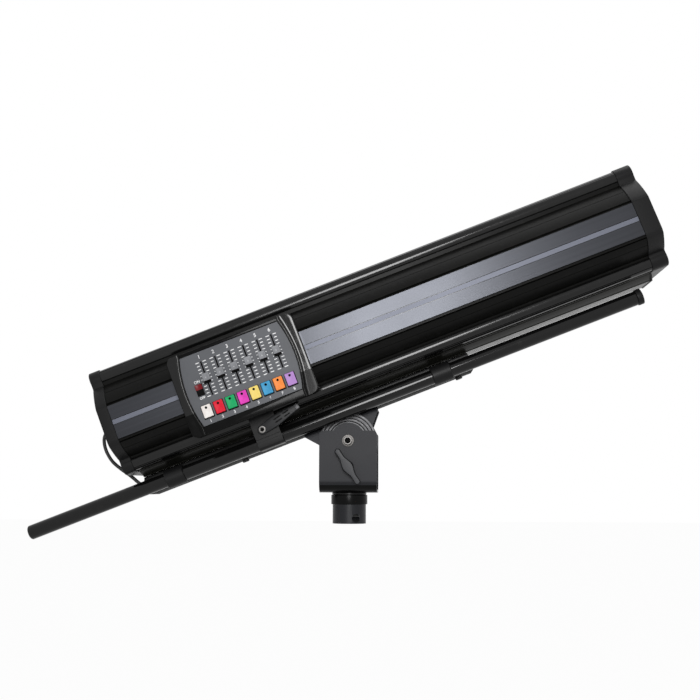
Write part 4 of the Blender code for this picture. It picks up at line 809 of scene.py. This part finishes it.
def makeFrontCap(s, b, t):
    # Under the dish a lump follows the tray's section.
    start = b["front"] + layout["gap"]
    form = capForm(s, b, start, start + s["front"], (0.0, 0.0), s["frontWindow"])
    top = -b["beadZ"] - b["beadRadius"]
    right = [(t["slopeY"] + 0.006, top), (t["slopeY"] + 0.001, t["edge"])]
    right += [(t["flatY"] + 0.001, t["low"] - 0.0015)]
    lip = np.concatenate([np.array(right) * flip, right[::-1]])
    form.slab(lip, "X", start, start + s["lip"], 0.0006)
    form.build("frontCap", ["cap"], "head", ["front_cap"], "cap_plastic")


def makeRearCap(s, b):
    # Bars cross the round opening and carry the fan's axle.
    joint = b["rear"] - layout["gap"]
    start = joint - s["rear"]
    form = capForm(s, b, joint, start, s["fan"], s["rearWindow"])
    step, half, radius, y = s["slotStep"], s["slotHalf"], s["rearWindow"][0], s["fan"][0]
    bars = [(k * step + half, (k + 1) * step - half) for k in (1, 2)]
    bars = [(half - step, step - half)] + bars + [(-high, -low) for low, high in bars]
    for low, high in bars:
        reach = math.sqrt((radius + 0.0015) ** 2 - min(abs(low), abs(high), abs(low + high)) ** 2)
        bar = roundedLoop((y - reach, low), (y + reach, high), 0.0008, 4)
        form.slab(bar, "X", start + 0.0002, start + s["wall"] - 0.0002, 0.0008)
    seat, hub, axle = start + s["wall"], s["hub"], s["axle"]
    profile = [(0.0001, seat - 0.001), (hub, seat - 0.001), (hub, seat + 0.006), (axle, seat + 0.006)]
    profile += [(axle, seat + 0.0180), (0.0001, seat + 0.0180)]
    form.turn(profile, 0.0008, "X", (0.0, y, 0.0), 40)
    form.build("rearCap", ["cap"], "head", ["rear_cap"], "cap_plastic")


makeFrontCap(capSet, barrelSet, traySet)
makeRearCap(capSet, barrelSet)
print("barrel made")


# Tubes
tubeSet = {
    "centre": (0.0, -0.0815, 0.0588),
    "radius": 0.015,
    "wall": 0.0025,
    "rear": -0.686,
    "chamfer": 0.003,
    "base": 0.004,
    "front": 0.664,
    "flange": 0.0122,
    "flangeRadius": 0.0167,
    "plug": 0.016,
    "dimple": (0.010, 0.002),
}


def makeHandle(s):
    # A tube shut at its rear end and a flanged plug in its front end, turned about the same line.
    radius, rear, front = s["radius"], s["rear"], s["front"]
    bore, base = radius - s["wall"], rear + s["base"]
    tube = [(0.0001, rear), (radius - s["chamfer"], rear), (radius, rear + s["chamfer"]), (radius, front)]
    tube += [(bore, front), (bore, base), (0.0001, base)]
    form = Form(headToRow).turn(tube, 0.002, "X", s["centre"], 72, capped=True)
    form.build("handleTube", ["tube"], "handle", ["handle_tube"], "tube_paint")
    start = front + layout["gap"]
    end, loose, inner = start + s["flange"], bore - 0.0003, start - s["plug"]
    hollow, depth = s["dimple"]
    wide = s["flangeRadius"]
    plug = [(0.0001, inner), (loose, inner), (loose, start), (wide, start), (wide, end)]
    plug += [(hollow, end), (hollow - 0.001, end - depth), (0.0001, end - depth)]
    form = Form(headToRow).turn(plug, 0.0015, "X", s["centre"], 64, capped=True)
    form.build("handleEnd", ["cap"], "handle", ["handle_flange"], "cap_plastic")


makeHandle(tubeSet)

standSet = {
    "radius": 0.0354,
    "wall": 0.003,
    "length": 0.052,
    "collarLow": 0.0404,
    "collarHeight": 0.0197,
    "collarWall": 0.0028,
}


def makeStand(s):
    # The ring lies on the tube's end and round its outside.
    low = s["radius"] + layout["gap"]
    outer = low + s["collarWall"]
    lip, shelf = s["radius"] - s["wall"] + 0.0006, s["length"] + layout["gap"]
    start, top = s["collarLow"], s["collarLow"] + s["collarHeight"]
    ring = [(lip, shelf), (low, shelf), (low, start), (outer, start), (outer, top), (lip, top), (lip, shelf)]
    form = Form().turn(ring, 0.0012, "Z", (0, 0, 0), 96)
    form.build("standCollar", ["collar"], "stand", ["stand_collar"], "gloss_black")


makeStand(standSet)
print("tubes made")


# Yoke
yokeSet = {
    "halfWidth": 0.061,
    "halfDepth": 0.064,
    "plate": 0.006,
    "drop": 0.1076,
    "bend": 0.026,
    "shoulder": 0.021,
    "hump": 0.038,
    "corner": 0.008,
    "soft": 0.0008,
    # Shares of the bend's height below which the fold takes darker finishes: painted shade.
    "dark": (0.85, 0.6),
}


def makeYoke(s):
    # The fold's path carries a half width that depends on height: straight sides, round shoulders, a hump.
    corner = np.radians(np.linspace(0, 90, 9))
    bend = np.radians(np.linspace(0, 90, 20))[1:]
    dome = np.linspace(math.asin(s["shoulder"] / s["hump"]), math.pi / 2 - 0.02, 28)
    low, wide = s["shoulder"] - s["corner"], s["halfWidth"]
    heights = np.concatenate([
        [-s["drop"] + s["bend"], low - 0.03], low + s["corner"] * np.sin(corner), s["hump"] * np.sin(dome)])
    widths = np.concatenate([
        [wide] * 2, wide - s["corner"] + s["corner"] * np.cos(corner), s["hump"] * np.cos(dome)])
    widths = np.concatenate([widths[::-1], np.full(len(bend), wide)])
    widths = np.concatenate([widths, widths[::-1]]) - s["soft"]

    def path(inset):
        depth, radius = s["halfDepth"] - inset, s["bend"] - inset
        y = np.concatenate([np.full(len(heights), depth), depth - radius * (1 - np.cos(bend))])
        z = np.concatenate([heights[::-1], -s["drop"] + s["bend"] - radius * np.sin(bend)])
        return np.concatenate([y, -y[::-1]]), np.concatenate([z, z[::-1]])

    outer, inner = path(0.0), path(s["plate"])
    sections = ((-1, outer), (1, outer), (1, inner), (-1, inner))
    grid = np.stack([np.stack([side * widths, y, z], -1) for side, (y, z) in sections], 1)
    # The second and third finishes are darker ones, for painted shade on the fold.
    finish = ["yoke", "standTube", "collar"]
    made = Form(yokeToRow).add(grid).build("yokePlate", finish, "yoke", ["yoke_bracket"], "yoke_paint")
    lowest = min(vertex.co.z for vertex in made.data.vertices)
    for face in made.data.polygons:  # painted shade: the fold's lower faces take darker finishes, as the fold turns away from the light
        share = (face.center.z - lowest) / s["bend"]
        face.material_index = sum(share < limit for limit in s["dark"])
    softenEdges(made, 0.0009, 3, 50)


boltSet = {
    "seat": 0.0643,
    "washer": 0.0025,
    "washerRadius": 0.0125,
    "head": 0.012,
    "headRadius": 0.009,
    "radius": 0.006,
    "hexagon": 0.0058,
    "length": 0.013,
}


def makeBolt(s):
    # A washer, a round head and a shank. Round the socket, the reach is that of a hexagon's six flats.
    seat, flange, hexagon = s["seat"], s["seat"] + s["washer"], s["hexagon"]
    face, centre = flange + s["head"], (0, 0, 0)
    form = Form(yokeToRow)
    washer = [(s["radius"], -seat), (s["washerRadius"], -seat), (s["washerRadius"], -flange)]
    form.turn(washer + [(s["headRadius"] - 0.001, -flange)], 0.0007, "Y", centre, 64)
    head = [(s["headRadius"], -flange - 0.0002), (s["headRadius"], -face)]
    head += [(0.0062, -face), (hexagon, -face + 0.0006)]
    form.turn(head, 0.0012, "Y", centre, 64, 1)
    angle = np.linspace(0, 2 * math.pi, 64, endpoint=False)
    spread = hexagon * math.cos(math.pi / 6) / np.cos((angle % (math.pi / 3)) - math.pi / 6)
    rings = ((hexagon, 0.0006), (spread, 0.0010), (spread, 0.006))
    socket = [ordered("Y", np.full(64, depth - face), reach * np.cos(angle), reach * np.sin(angle))
              for reach, depth in rings]
    # The socket's walls take the near black finish: painted shade in the recess.
    form.add(np.stack(socket), 2, capStart=False)
    end = flange + s["length"]
    form.turn([(s["radius"], -seat), (s["radius"], end), (0.0001, end)], 0.001, "Y", centre, 48, 1)
    form.build("tiltBolt", ["zinc", "steel", "slot"], "yoke", ["pivot_bolt"], "bright_steel")


wingSet = {
    "drop": 0.054,
    "reach": 0.0432,
    "end": 0.0062,
    "waist": 0.0112,
    "swell": 0.025,
    "turn": -56.5,
    "face": -0.0643,
    "hub": 0.011,
    "thick": 0.009,
    "edge": 0.0026,
    "stud": (0.0050, -0.0585),
}


def makeWing(s):
    # Two arms with round ends whose width swells by half a cosine wave to the waist, and a coned hub behind.
    tip = arcPoints((s["reach"] - s["end"], 0), s["end"], -80, 80, 16)
    share = np.linspace(1, -1, 33)
    thin = s["end"] * 0.9
    swell = thin + (s["waist"] - thin) * (0.5 + 0.5 * np.cos(math.pi * share))
    right = np.concatenate([tip, np.stack([s["swell"] * share, swell], -1)])
    loop = turnedLoop(np.concatenate([right, -right]), s["turn"], (0.0, -s["drop"]))
    face, back = s["face"], s["face"] - s["hub"]
    form = Form(yokeToRow).slab(loop, "Y", back - s["thick"], back, s["edge"], 6)
    middle, (stud, end) = back - s["thick"] * 0.5, s["stud"]
    hub = [(0.0001, middle + 0.001), (0.0100, middle), (0.0122, face - 0.001), (0.0125, face)]
    form.turn(hub + [(stud, face), (stud, end), (0.0001, end)], 0.0008, "Y", (0, 0, -s["drop"]), 56)
    made = form.build("wingLever", ["wing", "collar"], "wing_lever", ["wing_lever"], "yoke_paint")
    for face in made.data.polygons:  # painted shadow: every face that doesn't look to the front, the rounded flank and the hub, takes the near black finish
        face.material_index = int(face.normal.y > -0.8)


discSet = {"radius": 0.060, "start": 0.0533, "end": 0.0577, "bore": 0.0063, "grooves": (0.054, 0.047, 0.041)}


def makeDiscs(s):
    # Each disc is a turned ring with V grooves in its outer face.
    half = 0.0008
    for name, node, way in (("nearDisc", "near_friction_disc", -1.0), ("farDisc", "far_friction_disc", 1.0)):
        start, end = way * s["start"], way * s["end"]
        rings = [(s["bore"], start), (s["radius"], start), (s["radius"], end)]
        for radius in s["grooves"]:
            rings += [(radius + half, end), (radius, way * (s["end"] - half)), (radius - half, end)]
        rings += [(s["bore"], end), (s["bore"], start)]
        form = Form(headToRow).turn(rings, 0.0006, "Y", (0, 0, 0), 96, 0, 2)
        form.build(name, ["dark"], "bracket", [node], "bare_aluminium")


makeYoke(yokeSet)
makeBolt(boltSet)
makeWing(wingSet)
makeDiscs(discSet)
print("yoke made")


# Console
def rowOf(start, pitch, count):
    return [start + pitch * k for k in range(count)]


consoleSet = {
    "low": (-0.2846, -0.1027),
    "high": (-0.0120, 0.0689),
    "corner": 0.014,
    "back": -0.1494,
    "lip": -0.1716,
    "facePlane": -0.1683,
    "faceX": (-0.2565, -0.0445),
    "faceZ": (-0.0858, 0.0610),
    "bulge": 0.0105,
    "rim": 0.0030,
    "ridge": (0.0062, 0.0016),
    # how far up the cheeks the painted shade reaches
    "shadedEnd": 0.045,
    "faderX": rowOf(-0.2179, 0.0304, 6),
    "faderZ": 0.0057,
    "knob": (0.0170, 0.0085, 0.0200),
    "saddle": 0.30,
    "slot": (0.0060, 0.0764, 0.0047),
    "buttonX": rowOf(-0.2390, 0.0257, 8),
    "buttonZ": -0.0587,
    "buttonSize": (0.0195, 0.0255),
    "buttonRise": 0.004,
}
scaleSet = {
    "marks": 11,
    "top": 0.0395,
    "pitch": 0.0071,
    "long": 0.0074,
    "short": 0.0062,
    "tall": 0.0018,
    "off": 0.0076,
}
numberSet = {
    "faders": (0.0505, 0.0105),
    "buttons": (-0.0797, 0.0078),
    "on": (0.0170, 0.0078),
    "off": (-0.0170, 0.0066),
}
rockerSet = {
    "at": (-0.2390, -0.0134),
    "size": (0.0150, 0.0230),
    "depths": (0.0002, 0.0010, 0.0021, 0.0024, 0.0046, 0.0045, 0.0036),
}


def bulgedEdge(s, side, heights):
    # The faceplate's curved side: a parabola over its height, held straight beyond its ends.
    low, high = s["faceZ"]
    share = np.clip((heights - low) / (high - low), 0, 1)
    way = -1.0 if side == 0 else 1.0
    return s["faceX"][side] + way * s["bulge"] * 4 * share * (1 - share)


def makeCheeks(s):
    # Each cheek is a strip between the housing's outline and the curved edge, with a rolled inner lip.
    form = Form(barrelToRow)
    low, high, corner = s["low"][1], s["high"][1], s["corner"]
    curl = corner * (1 - np.cos(np.radians(np.linspace(0, 90, 10))))
    straight = np.linspace(low + corner, high - corner, 30)[1:-1]
    heights = np.concatenate([low + curl, straight, high - curl[::-1]])
    fromEnd = np.minimum(heights - low, high - heights)
    cut = corner - np.sqrt(np.maximum(0.0, corner**2 - np.maximum(0.0, corner - fromEnd) ** 2))
    (ridge, swell), rim, flat = s["ridge"], s["rim"], s["lip"] - 0.0004
    for side, way in ((0, 1.0), (1, -1.0)):
        outer = (s["low"], s["high"])[side][0] + way * (cut - 0.0004)
        inner = bulgedEdge(s, side, heights) - way * 0.0002
        across = [(outer, s["back"] + 0.001)]
        for a in np.radians(np.linspace(0, 90, 7)):
            across.append((outer + way * rim * (1 - math.cos(a)), flat + rim * (1 - math.sin(a))))
        for t in np.linspace(0, 1, 5)[1:-1]:
            across.append((outer + way * rim + (inner - way * ridge - outer - way * rim) * t, flat))
        for t in np.linspace(0, 1, 17):  # the raised bead beside the faceplate is half a sine wave
            across.append((inner - way * ridge * (1 - t), flat - swell * math.sin(math.pi * t)))
        across += [(inner, s["facePlane"] + 0.003), (outer + way * 0.004, s["facePlane"] + 0.003)]
        grid = np.stack([np.stack([x, np.full_like(x, y), heights], -1) for x, y in across], 1)
        # The lower rows take the darker, less glossy finish: painted shade on the lower part of each cheek.
        shadedRows = int(np.searchsorted(heights, low + s["shadedEnd"]))
        form.add(grid[:shadedRows + 1], 1, capEnd=False)
        form.add(grid[shadedRows:], 0, capStart=False)
    form.build("consoleCheeks", ["gloss", "collar"], "head", (), "gloss_black", 40.0)


def makeFrame(s):
    # The housing's frame above and below the faceplate.
    form = Form(barrelToRow)
    left, right = s["faceX"][0] - 0.006, s["faceX"][1] + 0.006
    under, over = s["faceZ"]
    above = (over + 0.0003, s["high"][1] - 0.0006)
    below = (s["low"][1] + 0.0006, under - 0.0003)
    for low, high in (above, below):
        form.slab(roundedLoop((left, low), (right, high), 0.0012, 4), "Y", -0.1700, -0.1650, 0.0012)
    form.build("consoleFrame", ["collar"], "head", (), "satin_black_paint")


def printedBar(form, loop, plane):
    form.slab(loop, "Y", plane - 0.00012, plane - 0.00001, 0.00003, 1)


def makeScale(s, m):
    # Marks each side of every slot, printed on the faceplate, as flat bars.
    form = Form(barrelToRow)
    for x in s["faderX"]:
        for step in range(m["marks"]):
            wide = m["short"] if step % 5 else m["long"]
            for side in (-m["off"], m["off"]):
                mark = centredLoop(x + side, m["top"] - m["pitch"] * step, wide, m["tall"], 0.0003, 2)
                printedBar(form, mark, s["facePlane"])
    form.build("faderScale", ["print"], "head", (), "knob_grey")


def makeNumbers(s, n, r):
    # Plain numbers over the slots and under the keys, and the switch's two words, as flat printed letters.
    label = []
    for places, (z, size) in ((s["faderX"], n["faders"]), (s["buttonX"], n["buttons"])):
        label += [(str(index), x, z, size) for index, x in enumerate(places, 1)]
    x, z = r["at"]
    label += [(words, x, z + n[key][0], n[key][1]) for words, key in (("ON", "on"), ("OFF", "off"))]
    form = Form(barrelToRow)
    for words, x, z, size in label:
        curve = bpy.data.curves.new("letters", "FONT")
        curve.body = words
        curve.size = size
        curve.align_x = "CENTER"
        curve.align_y = "CENTER"
        curve.extrude = 0.00005
        curve.offset = 0.00018
        holder = bpy.data.objects.new("letters", curve)
        mesh = bpy.data.meshes.new_from_object(holder)
        flat = np.empty(len(mesh.vertices) * 3)
        mesh.vertices.foreach_get("co", flat)
        across, up, out = flat.reshape(-1, 3).T
        form.points.append(ordered("Y", s["facePlane"] - 0.00006 - out, x + across, z + up))
        form.faces += [[vertex + form.count for vertex in face.vertices] for face in mesh.polygons]
        form.tones += [0] * len(mesh.polygons)
        form.count += len(mesh.vertices)
        bpy.data.objects.remove(holder)
        bpy.data.meshes.remove(mesh)
        bpy.data.curves.remove(curve)
    form.build("consoleNumbers", ["print"], "head", (), "knob_grey")


def makeSlots(s):
    # A near black sheet lies behind each fader's slot: painted shade inside the slot.
    form = Form(barrelToRow)
    wide, tall, z = s["slot"]
    for x in s["faderX"]:
        form.slab(centredLoop(x, z, wide, tall, 0.001, 2), "Y", -0.1655, -0.1659, 0.0001, 1)
    form.build("slotShade", ["slot"], "head", (), "gloss_black")


def makeKnobs(s):
    # A knob is a saddle-topped block: its height dips along z and its rims are rounded; a near black bar at
    # its lower end is painted shadow.
    wide, rise, tall = s["knob"]
    z, base = s["faderZ"], s["facePlane"] - 0.0003

    def raised(ring, share):
        depth = base - rise * share * (1 - s["saddle"] * np.cos((ring[:, 1] - z) / tall * math.pi))
        return ordered("Y", depth, ring[:, 0], ring[:, 1])

    for index, x in enumerate(s["faderX"], 1):
        outline = centredLoop(x, z, wide, tall, 0.0016, 5)
        loops = [placed(outline, "Y", base)]
        for share, inset in ((0.0, 0.0), (0.75, 0.0008), (0.93, 0.0016), (1.0, 0.0030)):
            loops.append(raised(offsetLoop(outline, inset), share))
        for share in (0.75, 0.45, 0.2, 0.02):
            loops.append(raised(shrunk(offsetLoop(outline, 0.0030), np.array([x, z]), share), 1.0))
        form = Form(barrelToRow).add(np.stack(loops))
        # A near black bar at the knob's lower end: painted shadow under the knob.
        step = centredLoop(x, z - tall / 2 + 0.0012, wide - 0.0012, 0.0048, 0.0008, 3)
        form.slab(step, "Y", base - rise * 0.92, base - 0.001, 0.0006, 4, 3)
        mark = centredLoop(x, z, wide - 0.004, 0.001, 0.0002, 2)
        form.slab(mark, "Y", base - rise * 0.705, base - rise * 0.69, 0.00003, 1, 1)
        stem = centredLoop(x, z, 0.0026, 0.006, 0.0004, 2)
        form.slab(stem, "Y", base + 0.009, base - 0.001, 0.0002, 1, 2)
        body = f"fader_{index}"
        form.build(f"faderKnob{index}", ["knob", "print", "zinc", "slot"], body, [body], "knob_grey")


def makeButtons(s):
    # A pillow-topped key with a small dark window near its upper edge, over a dark surround: the gap round
    # the key, which reaches further below it as painted shadow.
    wide, tall = s["buttonSize"]
    z, front = s["buttonZ"], s["facePlane"]
    top = front - s["buttonRise"]
    shadedSurrounds = Form(barrelToRow)
    for x, name in zip(s["buttonX"], buttonColours):
        outline = centredLoop(x, z, wide, tall, 0.0016, 6)
        loops = [placed(offsetLoop(outline, 0.0002), "Y", front + 0.008)]
        loops.append(placed(outline, "Y", front + 0.0075))
        for along, inset in edgeLevels(top, front + 0.002, 0.0011, 5)[:6][::-1]:
            loops.append(placed(offsetLoop(outline, inset), "Y", along))
        for share in (0.85, 0.6, 0.3, 0.02):
            ring = shrunk(offsetLoop(outline, 0.0011), np.array([x, z]), share)
            loops.append(placed(ring, "Y", top + 0.0005 * (1 - share)))
        form = Form(barrelToRow).add(np.stack(loops))
        eye = [(0.0001, -0.00005), (0.0026, -0.00005), (0.0026, 0.001), (0.0001, 0.001)]
        form.turn(eye, 0.0002, "Y", (x, top + 0.0001, z + tall / 2 - 0.0055), 20, 1, 2)
        body = f"button_{name}"
        form.build(f"{name}Button", [name, "slot"], body, [body], body)
        # The surround is the dark gap round the key and, lower down, painted shadow under it.
        lining = centredLoop(x, z - 0.0009, wide + 0.0028, tall + 0.0034, 0.001, 3)
        shadedSurrounds.slab(lining, "Y", front - 0.00016, front - 0.00002, 0.00003, 1)
    shadedSurrounds.build("buttonShadedSurrounds", ["slot"], "head", (), "gloss_black")


makeCheeks(consoleSet)
makeFrame(consoleSet)
makeScale(consoleSet, scaleSet)
makeNumbers(consoleSet, numberSet, rockerSet)
makeSlots(consoleSet)
makeKnobs(consoleSet)
makeButtons(consoleSet)
print("console made")


# Clamp lever and rocker
clampSet = {
    "pivot": (-0.1538, 0.0816),
    "back": -0.1108,
    "thick": 0.008,
    "reach": 0.0895,
    "root": 0.0112,
    "knuckle": 0.0098,
    "tip": 0.0058,
    "corner": 0.002,
    "turn": 13.1,
    "slots": ((0.030, 0.047), (0.052, 0.066)),
    "slotOff": 0.0034,
    "screw": 0.0075,
    "pin": (0.0035, 0.0040),
}


def makeClampLever(s):
    # A tapering arm with a round root, two slots, a bright end and the screw that holds it. The slots are
    # thin near black patches and the screw's socket is near black: painted shade in their recesses.
    reach, root, tip, corner = s["reach"], s["root"], s["tip"], s["corner"]
    back, face = s["back"], s["back"] - s["thick"]
    form = Form(headToRow)

    def arm(loop, start, end, edge, steps, tone):
        form.slab(turnedLoop(loop, s["turn"], s["pivot"]), "Y", start, end, edge, steps, tone)

    shape = np.concatenate([
        arcPoints((0, 0), s["knuckle"], 110, 250, 18),
        [[reach * 0.27, -root], [reach * 0.42, -root]],
        arcPoints((reach - corner, -tip + corner), corner, -90, 0, 5),
        arcPoints((reach - corner, tip - corner), corner, 0, 90, 5),
        [[reach * 0.42, root], [reach * 0.27, root]],
    ])
    arm(shape, face, back, 0.0014, 4, 0)
    # The slots: near black patches, painted shade for their depth.
    for start, end in s["slots"]:
        for z in (-s["slotOff"], s["slotOff"]):
            sunk = roundedLoop((start, z - 0.0013), (end, z + 0.0013), 0.0012, 5)
            arm(sunk, face - 0.00012, face + 0.0004, 0.00005, 1, 1)
    sleeve = roundedLoop((reach - 0.0095, -tip - 0.0003), (reach - 0.0003, tip + 0.0003), 0.0015, 5)
    arm(sleeve, face - 0.0004, back - 0.0006, 0.0010, 4, 3)
    x, z = s["pivot"]
    r, (pin, depth) = s["screw"], s["pin"]
    head = [(r + 0.0002, face + 0.001), (r, face - 0.0026), (r * 0.55, face - 0.0030)]
    head += [(r * 0.50, face - 0.0012), (0.0001, face - 0.0012)]
    form.turn(head, 0.0008, "Y", (x, 0, z), 48, 2)
    # The screw's socket: near black, painted shade in the recess.
    eye = [(r * 0.42, face - 0.0011), (r * 0.42, face - 0.0016), (0.0001, face - 0.0016)]
    form.turn(eye, 0.0003, "Y", (x, 0, z), 32, 1)
    shank = [(pin, back - 0.001), (pin, back + depth), (0.0001, back + depth)]
    form.turn(shank, 0.0005, "Y", (x, 0, z), 32, 2)
    finish = ["lever", "slot", "steel", "dark"]
    form.build("clampLever", finish, "clamp_lever", ["clamp_lever"], "cap_plastic", 40.0)


def makeRocker(s, plane):
    # A key bent in the middle: the pressed half lies flat, the other stands up, each half with its own tone.
    x, z = s["at"]
    wide, half = s["size"][0] / 2 - 0.0002, s["size"][1] / 2
    heights = [-half, 0.0006 - half, -0.0006, 0.0006, half - 0.0014, half - 0.0006, half - 0.0002]
    front = np.stack([z + np.array(heights), plane - np.array(s["depths"])], -1)
    outline = np.concatenate([front, [[z + half * 0.70, plane + 0.005], [z - half * 0.70, plane + 0.005]]])
    rows = []
    for along, inset in ((-wide, 0.0003), (0.0004 - wide, 0.0), (wide - 0.0004, 0.0), (wide, 0.0003)):
        loop = offsetLoop(outline[::-1], inset)
        rows.append(np.stack([np.full(len(loop), x + along), loop[:, 1], loop[:, 0]], -1))
    form = Form(barrelToRow).add(np.stack(rows))
    heights = rows[1][:, 2]
    upper = (heights + np.roll(heights, -1)) / 2 > z
    form.tones[: 3 * len(upper)] = np.tile(upper.astype(int), 3).tolist()
    form.build("lampRocker", ["collar", "rockerRed"], "lamp_rocker", ["lamp_rocker"], "gloss_black", 40.0)


makeClampLever(clampSet)
makeRocker(rockerSet, consoleSet["facePlane"])
print("levers made")


# Solids that only need softer edges: body, finish, slot and the width of the bevel
softEdged = {
    "stand_tube": ("stand", "standTube", "tube_paint", 0.0006),
    "pan_spigot": ("yoke", "beam", "satin_black_paint", 0.0008),
    "pivot_nut": ("yoke", "zinc", "zinc", 0.0004),
    "spigot_nut": ("yoke", "zinc", "zinc", 0.0005),
    "tilt_bracket": ("bracket", "yoke", "yoke_paint", 0.0008),
    "rail_beam": ("head", "beam", "satin_black_paint", 0.0005),
    "rear_beam_bolt": ("head", "boltBlack", "zinc", 0.0006),
    "front_beam_bolt": ("head", "boltBlack", "zinc", 0.0006),
    "beam_plug": ("head", "rubber", "cable_rubber", 0.0008),
    "rear_collar": ("head", "cap", "cap_plastic", 0.0012),
    "front_collar": ("head", "cap", "cap_plastic", 0.0012),
    "mid_clamp": ("head", "cap", "cap_plastic", 0.0010),
    "console_housing": ("head", "collar", "satin_black_paint", 0.0005),
    "console_faceplate": ("head", "face", "faceplate_grey", 0.0003),
    "cable_gland": ("head", "rubber", "cable_rubber", 0.0006),
}
# Faces of these solids that look downwards take a near black finish: painted shade under them.
shadedUndersides = {"rail_beam": "slot"}


def softenSolid(node, body, paint, slotName, width):
    # The CAD solid's triangles are copied, merged and joined into flat faces, then its edges are broken.
    first, *others = node.split("_")
    name = first + "".join(word.title() for word in others)
    source = nodes[node].data
    points = np.empty(len(source.vertices) * 3)
    source.vertices.foreach_get("co", points)
    mesh = bpy.data.meshes.new(name)
    mesh.from_pydata(points.reshape(-1, 3).tolist(), [], [list(face.vertices) for face in source.polygons])
    cleaned = bmesh.new()
    cleaned.from_mesh(mesh)
    bmesh.ops.remove_doubles(cleaned, verts=cleaned.verts, dist=2e-6)
    bmesh.ops.dissolve_limit(cleaned, angle_limit=math.radians(0.6), verts=cleaned.verts, edges=cleaned.edges)
    cleaned.to_mesh(mesh)
    cleaned.free()
    mesh.materials.append(paints[paint])
    if node in shadedUndersides:
        mesh.materials.append(paints[shadedUndersides[node]])
        # painted shade on the downward faces
        for face in mesh.polygons:
            face.material_index = int(face.normal.z < -0.7)
    mesh.shade_smooth()
    mesh.set_sharp_from_angle(angle=math.radians(32.0))
    made = linked(name, mesh)
    softenEdges(made, width, 2, 40)
    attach(made, body)
    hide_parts(node)


for node, row in softEdged.items():
    softenSolid(node, *row)
print("solids softened:", len(softEdged))


# Finishes of the pieces that keep their solid
nodeFinish = {
    "lamp_plate": "bare",
    "lens_frame": "dark",
    "front_lens": "glass",
    "zoom_lens": "glass",
    "focus_lens": "glass",
    "zoom_carriage": "dark",
    "focus_carriage": "dark",
    "iris_ring": "bare",
    "colour_wheel": "bare",
    "reflector": "mirror",
    "lamp": "glass",
    "fan_rotor": "cap",
}
for name, finish in nodeFinish.items():
    nodes[name].data.materials.clear()
    nodes[name].data.materials.append(paints[finish])


# Light and floor
stageSet = {
    "floor": -0.95,
    "reach": 30.0,
    "floorTone": (0.80, 0.80, 0.80),
    "floorGlow": 0.97,
    "skyTone": 0.26,
    "white": (1.0, 1.0, 1.0, 1.0),
    "keyLamp": {"place": (0.07, -2.46, 0.68), "aim": (0.06, 0.0, 0.35), "size": (0.62, 1.02), "power": 40.0},
    "topLamp": {"place": (0.2, 0.2, 3.0), "aim": (0.1, 0.0, 0.3), "size": (3.2, 1.6), "power": 32.0},
}


def makeFloor(s):
    reach, z = s["reach"], s["floor"]
    mesh = bpy.data.meshes.new("floor")
    corners = [(-reach, -reach, z), (reach, -reach, z), (reach, reach, z), (-reach, reach, z)]
    mesh.from_pydata(corners, [], [(0, 1, 2, 3)])
    shade = Shade("floorPaper", s["floorTone"], 0.9)
    shade.feed("Roughness", shade.ramp(shade.noise(3.0, 4.0), 0.3, 0.7, 0.85, 0.95))
    bright = shade.node("ShaderNodeEmission", {"Color": s["white"], "Strength": 1.0})
    glow = shade.plainlySeen() * s["floorGlow"]
    mix = shade.node("ShaderNodeMixShader", {0: glow, 1: shade.surface.outputs[0], 2: bright.outputs[0]})
    shade.tree.links.new(mix.outputs[0], shade.output.inputs["Surface"])
    mesh.materials.append(shade.material)
    linked("floor", mesh)


def makeWorld(s):
    # A soft sky lights the object, and plain white stands behind it.
    world = bpy.data.worlds.new("studio")
    bpy.context.scene.world = world
    studio = NodeTree(world)
    lit = studio.node("ShaderNodeBackground", {"Color": s["white"], "Strength": s["skyTone"]})
    seen = studio.node("ShaderNodeBackground", {"Color": s["white"], "Strength": 1.0})
    mix = studio.node("ShaderNodeMixShader", {0: studio.plainlySeen(), 1: lit.outputs[0], 2: seen.outputs[0]})
    studio.node("ShaderNodeOutputWorld", {"Surface": mix.outputs[0]})


def makeLamp(name, s):
    # A soft box that looks at a point on the object.
    light = bpy.data.lights.new(name, "AREA")
    light.shape = "RECTANGLE"
    light.size, light.size_y = s["size"]
    light.energy = s["power"]
    lamp = linked(name, light)
    lamp.location = s["place"]
    aim = Vector(s["aim"]) - lamp.location
    lamp.rotation_euler = aim.to_track_quat("-Z", "Y").to_euler()


makeFloor(stageSet)
makeWorld(stageSet)
for name in ("keyLamp", "topLamp"):
    makeLamp(name, stageSet[name])
bpy.context.scene.view_settings.view_transform = "Standard"
print("stage set")
